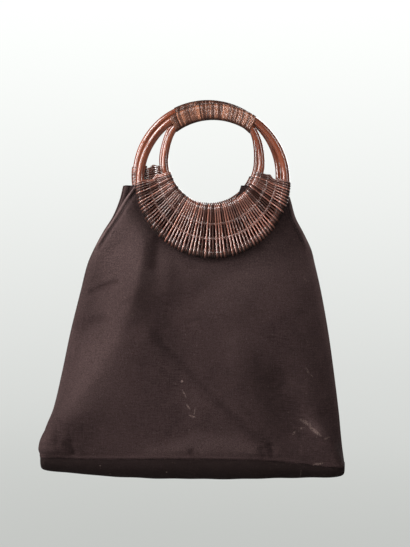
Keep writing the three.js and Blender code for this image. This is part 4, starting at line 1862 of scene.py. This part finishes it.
    def place_z(self, side: Side, s: Array, drop: Array) -> Array:
        """Height of a point of a panel in the frame."""
        rise = self.back_rise * (1 - drop) if side is Side.BACK else 0.0
        low = table_at(self.bottom, Bottom.LOW, s)
        return self.top_z - self.height * drop * (1 + low * drop) + rise

    def fold_height(self, side: Side, s: Array, drop: Array) -> Array:
        """How far the broad folds push the cloth out, in metres.

        Args:
            side: Which panel.
            s: Place from edge to edge, -1 to 1.
            drop: How far down, 0 to 1.

        Returns:
            The height.
        """
        scale = np.array([self.width / 2, self.height])
        total = np.zeros(np.broadcast(s, drop).shape)
        for fold in self.folds:
            if fold.side is not side:
                continue
            start = np.array(fold.start) * scale
            run = np.array(fold.end) * scale - start
            away = away_from(start, run, s * scale[0], drop * scale[1])
            shape = Band(0.0, fold.width * self.width)
            total += fold.height * self.bottom_depth * shape.share_at(away)
        return total * (1 - drop**self.fold_fade)

    def crease_height(self, side: Side, x: Array, z: Array) -> Array:
        """How far the creases push the cloth out, in metres, as far as the handle lets them.

        Args:
            side: Which panel.
            x: Places across, in metres.
            z: Places up, in metres.

        Returns:
            The height.
        """
        total = sum(crease.relief(x, z) for crease in self.creases if crease.side is side)
        from_handle = np.hypot(x, z - HANDLE.centre_z)
        free = smooth_step(self.handle_holds, self.handle_frees, from_handle)
        return np.minimum(total, np.maximum(total, 0) * free)

    def column_places(self, side: Side) -> Array:
        """Places across a panel, closer together at its edges and where the scoop is steep.

        Args:
            side: Which panel.

        Returns:
            The places, from -1 to 1.
        """
        s = np.linspace(-1, 1, 4001)
        x = self.across(side, s, np.zeros_like(s))
        scoop = self.scoops[side]
        rim = math.sqrt(scoop.radius**2 - (self.top_edge_below + self.scoop_above) ** 2)
        density = np.ones_like(s)
        for place in (scoop.x - rim, scoop.x + rim):
            density += 4 * Band(place, 3 * MM).share_at(x)
        density += 2.5 * Band(1.0, 0.03).share_at(np.abs(s))
        return crowded(s, density, self.columns + 1)

    def row_places(self) -> Array:
        """Places down a panel, closer together at its two edges."""
        t = np.linspace(0, 1, 2001)
        density = 1 + 2 * Band(0.0, 0.02).share_at(t) + 3 * Band(1.0, 0.02).share_at(t)
        return crowded(t, density, self.rows + 1)

    def scoop_drop(self, side: Side, s: Array) -> Array:
        """How far down each column starts below the scooped top edge.

        Args:
            side: Which panel.
            s: Place of each column.

        Returns:
            The shares of the panel's height.
        """
        scoop = self.scoops[side]
        centre_z = HANDLE.centre_z + self.scoop_above
        top_z = self.place_z(side, s, np.zeros_like(s))
        drop = np.zeros_like(s)
        for _ in range(self.scoop_tries):
            x = self.across(side, s, drop)
            inside = np.clip(scoop.radius**2 - (x - scoop.x) ** 2, 0, None)
            low_z = np.where(inside > 0, centre_z - np.sqrt(inside), top_z)
            wanted = np.clip((top_z - low_z) / self.height, 0, None)
            drop = 0.5 * drop + 0.5 * wanted
        return drop

    def panel_surface(self, side: Side) -> PanelFace:
        """The outer face of a panel.

        Args:
            side: Which panel.

        Returns:
            The face.
        """
        s = self.column_places(side)[None, :]
        start = self.scoop_drop(side, s[0])[None, :]
        t = self.row_places()[:, None]
        drop = start + (1 - start) * t
        s = np.broadcast_to(s, drop.shape)
        _, y, opened = self.section_point(s, drop)
        x = self.across(side, s, drop)
        z = self.place_z(side, s, drop)
        y = y + opened * self.fold_height(side, s, drop)
        points = np.stack([x, side.value * y, z], -1)
        left, right = (table_at(self.sections, k, drop) for k in (Section.LEFT, Section.RIGHT))
        edge = (1 - np.abs(s)) * ((left + right) / 2 * self.width)
        down = (drop - start) * self.height
        up = (1 - drop) * self.height
        calm = smooth_step(0, self.side_calm, edge) * smooth_step(0, self.foot_calm, up)
        slit = 1 - smooth_step(*self.slit_end, drop)
        bead, groove = self.slit_bead.share_at(edge), self.slit_groove.share_at(edge)

        relief = calm * (self.ripple_height(side, x, z) + self.crease_height(side, x, z))
        relief = relief + slit * (self.bead_height * bead - self.groove_depth * groove)
        lip = self.seam_lip.share_at(up) * smooth_step(0, self.lip_start, edge)
        relief = relief + self.lip_height * lip
        relief = relief + self.hem_height * self.top_hem.share_at(down)
        points = points + normals(points, side is Side.BACK) * relief[..., None]

        # Rubbed wear and painted highlight along the slits' hem beads, and wear along the side edges below
        # them.
        worn = self.rubbed[side] * slit * bead
        worn = worn + self.side_wear * self.side_rub.share_at(edge) * (1 - slit)
        tone = self.cloth_tone(side, x, z, calm)
        # Painted shade in the slits' grooves, and a painted shadow under the bottom seam's lip.
        tone = tone - self.groove_shade * slit * groove
        tone = tone - self.seam_shade * self.seam_shadow.share_at(up)
        cloth = np.stack([x, -drop * self.height], -1)
        return PanelFace(points, cloth, np.clip(worn, 0, 1), tone, edge, down)

    def ripple_height(self, side: Side, x: Array, z: Array) -> Array:
        """How far the cloth's broad and fine ripples push it out, in metres.

        Args:
            side: Which panel.
            x: Places across, in metres.
            z: Places up, in metres.

        Returns:
            The height.
        """
        seed = self.ripple_seeds[side]
        high, length, stretch = self.broad_ripple
        broad = high * ripples(x, z, length, seed, stretch)
        high, length = self.fine_ripple
        return broad + high * ripples(x, z, length, seed + 1)

    def cloth_tone(self, side: Side, x: Array, z: Array, calm: Array) -> Array:
        """Tone of a panel from its painted patches of light and shade, and from painted shade in its
        creases' dents and painted light on their ridges.

        Args:
            side: Which panel.
            x: Place across.
            z: Height.
            calm: Share of the creases at each place, which is 0 along the edges.

        Returns:
            The tone at each place.
        """
        # Soft patches of painted light and painted shade.
        painted_light_patches = sum(light_patch.amount(x, z) for light_patch in self.painted_light_patches if light_patch.side is side)
        own = [crease for crease in self.creases if crease.side is side]
        # Painted shade in the creases' dents and painted light on their ridges.
        relief_shading_total = sum(crease.relief_shading * crease.relief(x, z) for crease in own)
        return NEUTRAL + painted_light_patches + np.clip(calm * relief_shading_total, *self.relief_shading_limits)

    def panel(self, side: Side, finish: Material) -> Piece:
        """One canvas panel with thickness.

        Args:
            side: Which panel.
            finish: The canvas material.

        Returns:
            The panel.
        """
        face = self.panel_surface(side)
        outer = face.points
        out = normals(outer, side.value > 0)
        self.seams[side] = Seams(outer, out, face.edge, face.down)
        inner = outer - out * self.canvas
        inner[..., 1] = side.value * np.maximum(side.value * inner[..., 1], self.least_depth)
        turn = -1 if side is Side.BACK else 1
        skin = Skin()
        skin.shell(*(grid[:, ::turn] for grid in (outer, inner, face.cloth, face.worn, face.tone)))
        piece = skin.build(f"{side.name.lower()}_canvas", finish, self.sharp_edge)
        dressed(piece, Slot.CANVAS, f"{side.name.lower()}_panel")
        return piece

    def gusset(self, finish: Material) -> Piece:
        """The gusset that hangs in a hollow curve between the bottom seams.

        Args:
            finish: The gusset's material.

        Returns:
            The gusset.
        """
        s = self.column_places(Side.FRONT)[None, :]
        angle = np.linspace(0, np.pi, self.gusset_rows + 1)[:, None]
        reach = -signed_power(np.cos(angle), self.fullness)
        hang = np.sin(angle) ** self.fullness
        x, y, _ = self.section_point(s, np.ones_like(s))
        depth = self.bottom_depth / 2
        width = np.where(np.abs(s) >= 1, 0, y)
        round_off = np.sqrt(np.clip(1 - (1 - width / depth) ** 2, 0, 1))
        sag = table_at(self.bottom, Bottom.SAG, s) * self.gusset_sag * round_off
        seam = self.place_z(Side.FRONT, s, np.ones_like(s))
        z = seam - self.clearance - sag * hang
        points = np.stack(np.broadcast_arrays(x, reach * width, z), -1)
        edge = np.broadcast_to((1 - np.abs(s)) * self.width / 2, points.shape[:2])
        soft = np.sin(angle) * smooth_step(0, self.gusset_calm, edge)
        high, length, seed = self.gusset_ripple
        relief = soft * high * ripples(points[..., 0], points[..., 1], length, seed)
        outer = points + normals(points, False) * relief[..., None]
        inner = outer - normals(outer, False) * self.canvas
        arc = np.broadcast_to(angle / np.pi * self.bottom_depth * self.gusset_curve, points.shape[:2])
        cloth = np.stack([points[..., 0], arc], -1)
        skin = Skin()
        plain = np.zeros(points.shape[:2])
        skin.shell(outer, inner, cloth, plain, plain + NEUTRAL)
        piece = skin.build("base_gusset_canvas", finish, self.sharp_edge)
        dressed(piece, Slot.GUSSET, "base_gusset")
        return piece

    def stitching(self, side: Side, finish: Material) -> Piece:
        """The visible stitches of a panel: along its top hem and the hems of its slits.

        Args:
            side: Which panel.
            finish: The thread's material.

        Returns:
            The stitches as one joined mesh.
        """
        skin = Skin()
        for line, out in self.seams[side].lines(self.stitch_in, self.slit_height):
            self.stitch_line(skin, line, out)
        piece = skin.build(f"{side.name.lower()}_canvas_stitches", finish)
        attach(piece, "root")
        return piece

    def stitch_line(self, skin: Skin, line: Array, out: Array) -> None:
        """Adds stitches along a line on the cloth.

        Args:
            skin: The mesh they go into.
            line: Points of the line.
            out: Unit vectors away from the cloth at those points.
        """
        place = lengths_along(line)
        arch = self.thread_radius * np.array([-0.6, 0.5, 0.8, 0.5, -0.6])
        half = np.tile([self.thread_radius, self.thread_radius * 0.8], (len(arch), 1))
        for i in range(int(place[-1] / self.stitch_pitch)):
            at = (i + np.linspace(0.12, 0.88, len(arch))) * self.stitch_pitch
            path = np.stack([np.interp(at, place, line[:, k]) for k in range(3)], 1)
            away = unit(np.stack([np.interp(at, place, out[:, k]) for k in range(3)], 1))
            across = np.cross(away, np.gradient(path, axis=0))
            skin.sweep(path + away * arch[:, None], across, half, BAND_SIDES)

    def make(self, finishes: "Finishes") -> list[Piece]:
        """Builds the panels with their stitches, and the gusset.

        Args:
            finishes: The materials of the bag.

        Returns:
            The pieces.
        """
        return [
            self.panel(Side.FRONT, finishes.canvas),
            self.stitching(Side.FRONT, finishes.thread),
            self.panel(Side.BACK, finishes.canvas),
            self.stitching(Side.BACK, finishes.thread),
            self.gusset(finishes.gusset),
        ]


def away_from(start: Array, run: Array, x: Array, z: Array) -> Array:
    """Distance of each place from a straight piece of a line.

    Args:
        start: The piece's first point.
        run: From its first point to its last.
        x: Places across.
        z: Places up.

    Returns:
        The distances.
    """
    along = np.clip(((x - start[0]) * run[0] + (z - start[1]) * run[1]) / (run @ run), 0, 1)
    return np.hypot(x - start[0] - along * run[0], z - start[1] - along * run[1])


def normals(grid: Array, turned: bool) -> Array:
    """Outward unit normals of a grid of points.

    Args:
        grid: Points by rows from top to bottom and columns from left to right.
        turned: Whether the outside is the far side.

    Returns:
        One unit vector for each point.
    """
    down = np.gradient(grid, axis=0)
    right = np.gradient(grid, axis=1)
    out = unit(np.cross(down, right))
    return -out if turned else out


CANVAS_SCUFFS = (
    Scuff(-36.3, -305.4, -29, 20, 2.2, 1.5, 0.8),
    Scuff(-33.5, -320, -29, -65, 7, 1.0, 0.5),
    Scuff(-29.5, -334, -29, -55, 6, 1.2, 0.5),
    Scuff(-24.0, -346, -29, -20, 5, 1.2, 0.55),
    Scuff(-21.5, -340, -29, 80, 5, 1.0, 0.45),
    Scuff(111, -294, -24, -65, 7, 1.8, 0.5),
    Scuff(116, -300, -24, -50, 4, 1.2, 0.4),
    Scuff(95, -366, -28, 50, 4, 1.6, 0.7),
    Scuff(108, -354, -28, -30, 11, 3.5, 0.42),
    Scuff(119, -364, -27, -38, 11, 2.6, 0.42),
    Scuff(104, -361, -28, 0, 6, 2.0, 0.35),
    Scuff(122, -401, -28, 8, 9, 1.5, 0.4),
    Scuff(133, -372, -26, 15, 5, 1.5, 0.3),
)
GUSSET_SCUFFS = (
    Scuff(-131, -403, -24, 0, 1.4, 1.0, 0.6),
    Scuff(-120, -413.5, -20, 0, 1.2, 0.9, 0.6),
    Scuff(-54, -411, -22, 10, 1.2, 0.9, 0.6),
    Scuff(102, -413, -22, 88, 8, 0.8, 0.35),
)


@dataclass
class Finishes:
    """The bag's materials, each made once."""

    canvas: Material
    gusset: Material
    cane: Material
    wicker: Material
    binding: Material
    thread: Material
    paper: Material

    @classmethod
    def made(cls) -> "Finishes":
        """Builds the shared effects and every finish.

        Returns:
            The finishes.
        """
        effects = Effects()
        canvas = ClothFinish(
            "brown_canvas",
            deep=colour(26, 18, 18),
            light=colour(79, 62, 61),
            worn=colour(120, 99, 97),
            fleck=colour(150, 128, 120),
            scuffs=CANVAS_SCUFFS,
        )
        # The gusset's cloth is darker than the panels': partly its own colour, partly painted shade on the
        # bottom that faces down.
        gusset = ClothFinish(
            "gusset_canvas",
            deep=colour(26, 19, 18),
            light=colour(50, 39, 38),
            worn=colour(64, 51, 49),
            fleck=colour(130, 112, 104),
            scuffs=GUSSET_SCUFFS,
        )
        cane = CaneFinish(
            "varnished_cane",
            dark=colour(48, 16, 8),
            mid=colour(118, 52, 28),
            light=colour(172, 94, 60),
            roughness=0.3,
            varnish=0.8,
            varnish_roughness=0.12,
        )
        wicker = CaneFinish(
            "wicker_strands",
            dark=colour(14, 5, 3),
            mid=colour(104, 56, 42),
            light=colour(164, 100, 80),
            roughness=0.5,
            varnish=1.0,
            varnish_roughness=0.15,
            varnish_index=1.9,
            fibre_length=0.02,
            fineness=1600.0,
            tone_share=0.95,
        )
        binding = CaneFinish(
            "flat_binding_cane",
            dark=colour(26, 9, 6),
            mid=colour(100, 52, 34),
            light=colour(190, 124, 92),
            roughness=0.42,
            varnish=0.5,
            varnish_roughness=0.2,
            fibre_length=0.012,
            fineness=2400.0,
            tone_share=0.75,
        )
        thread = ThreadFinish("brown_thread", tint=colour(78, 62, 60), shade=colour(44, 34, 34))
        return cls(
            canvas.material(effects),
            gusset.material(effects),
            cane.material(effects),
            wicker.material(effects),
            binding.material(effects),
            thread.material(effects),
            StageFinish().material(effects),
        )


@dataclass(frozen=True)
class Lamp:
    """A soft upright light: where it stands and its size in metres, and its watts."""

    name: str
    place: tuple[float, float, float]
    width: float
    height: float
    power: float


@dataclass
class Studio:
    """The camera, the lights, and the pale floor that curves up into a wall all round."""

    camera_distance: float = 1.5
    camera_x: float = -9.4 * MM
    camera_z: float = -179.8 * MM
    lens: float = 84.2
    sensor: float = 36.0
    nearest: float = 0.01
    aim: tuple[float, float, float] = (0, 0, -0.2)
    world_tint: Colour = (1.0, 0.985, 0.965, 1.0)
    floor_steps: tuple[float, ...] = (0.05, 0.6, 1.4)
    floor_turns: int = 96
    bend_steps: int = 14
    floor_radius: float = 2.2
    wall_curve: float = 0.9
    wall_height: float = 3.2
    ambient: float = 0.06
    seen_from_below: float = 0.7
    lamps: tuple[Lamp, ...] = (
        Lamp("high_left", (-0.85, -0.42, 0.75), 0.45, 0.45, 12.0),
        Lamp("side_left", (-1.75, -0.55, 0.3), 0.3, 1.1, 34.0),
        Lamp("front_high", (0.15, -1.7, 0.75), 0.4, 0.4, 3.0),
        Lamp("front_left", (-1.0, -1.45, 0.5), 0.12, 1.1, 10.0),
        Lamp("front_right", (1.05, -1.35, 0.45), 0.12, 1.0, 9.0),
        Lamp("behind", (0.9, 1.8, 0.7), 1.4, 1.4, 34.0),
    )

    def camera(self) -> None:
        """Sets the camera square in front of the bag."""
        data = bpy.data.cameras.new("camera")
        data.sensor_width = self.sensor
        data.sensor_fit = "AUTO"
        data.lens = self.lens
        data.clip_start = self.nearest
        seen = bpy.data.objects.new("camera", data)
        seen.location = (self.camera_x, -HANDLE.plane - self.camera_distance, self.camera_z)
        seen.rotation_euler = (math.pi / 2, 0, 0)
        bpy.context.scene.collection.objects.link(seen)
        bpy.context.scene.camera = seen

    def floor(self, finish: Material) -> None:
        """Makes the round floor with its curved wall.

        Args:
            finish: The paper.
        """
        bend = np.linspace(0, np.pi / 2, self.bend_steps)
        curve = self.floor_radius + self.wall_curve * np.sin(bend)
        radius = np.concatenate([self.floor_steps, curve, curve[-1:]])
        flat = np.zeros(len(self.floor_steps))
        height = np.concatenate([flat, self.wall_curve * (1 - np.cos(bend)), [self.wall_height]])
        turns = self.floor_turns
        angle = 2 * np.pi * np.arange(turns) / turns
        rings = len(radius)
        points = np.stack(
            [
                radius[:, None] * np.cos(angle),
                radius[:, None] * np.sin(angle),
                (FLOOR_Z + height)[:, None].repeat(turns, 1),
            ],
            -1,
        ).reshape(-1, 3)
        i = np.arange(rings - 1)[:, None]
        k = np.arange(turns)[None]
        k_next = (k + 1) % turns
        low, high = i * turns, (i + 1) * turns
        quads = np.stack([low + k, high + k, high + k_next, low + k_next], -1)
        faces = quads.reshape(-1, 4).tolist()
        faces.append(list(range(turns)))
        mesh = bpy.data.meshes.new("studio_floor")
        mesh.from_pydata(points.tolist(), [], faces)
        mesh.shade_smooth()
        mesh.materials.append(finish)
        floor = bpy.data.objects.new("studio_floor", mesh)
        bpy.context.scene.collection.objects.link(floor)

    def light(self, lamp: Lamp) -> None:
        """Adds a soft light that faces the middle of the bag.

        Args:
            lamp: Its place, size and power.
        """
        data = bpy.data.lights.new(lamp.name, "AREA")
        data.shape = "RECTANGLE"
        data.size = lamp.width
        data.size_y = lamp.height
        data.energy = lamp.power
        stand = bpy.data.objects.new(lamp.name, data)
        stand.location = lamp.place
        stand.visible_camera = False
        aim = Vector(self.aim) - Vector(lamp.place)
        stand.rotation_euler = aim.to_track_quat("-Z", "Y").to_euler()
        bpy.context.scene.collection.objects.link(stand)

    def surroundings(self) -> None:
        """Sets the even light from all round, and plain display colours."""
        world = bpy.data.worlds.new("studio")
        world.use_nodes = True
        background = world.node_tree.nodes["Background"]
        background.inputs["Color"].default_value = self.world_tint
        helper = Shading(world.node_tree)
        direct = helper.add("ShaderNodeLightPath").outputs["Is Camera Ray"]
        strength = helper.span(direct, 0, 1, self.ambient, self.seen_from_below)
        helper.link(strength, background.inputs["Strength"])
        scene = bpy.context.scene
        scene.world = world
        scene.view_settings.view_transform = "Standard"
        scene.view_settings.look = "None"

    def make(self, finishes: Finishes) -> None:
        """Builds the whole studio.

        Args:
            finishes: The materials.
        """
        self.camera()
        self.floor(finishes.paper)
        for lamp in self.lamps:
            self.light(lamp)
        self.surroundings()


def main() -> None:
    """Builds the bag and its studio, and reports each piece."""
    logging.basicConfig(level=logging.INFO, format="%(message)s")
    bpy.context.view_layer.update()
    finishes = Finishes.made()
    Studio().make(finishes)
    builders = (
        Handle(Side.FRONT, crescent_depth=51.9 * MM, shift_x=0.0, rise=0.0, roll=0.0, seed=3),
        Handle(
            Side.BACK,
            crescent_depth=47.9 * MM,
            shift_x=-5.9 * MM,
            rise=7.8 * MM,
            roll=math.radians(7.5),
            seed=8,
            inner_tone=0.42,
            grip_tone=0.1,
        ),
        CanvasBody(),
    )
    for builder in builders:
        for piece in builder.make(finishes):
            LOG.info("%s: %d faces", piece.name, len(piece.data.polygons))


if __name__ == "__main__":
    main()
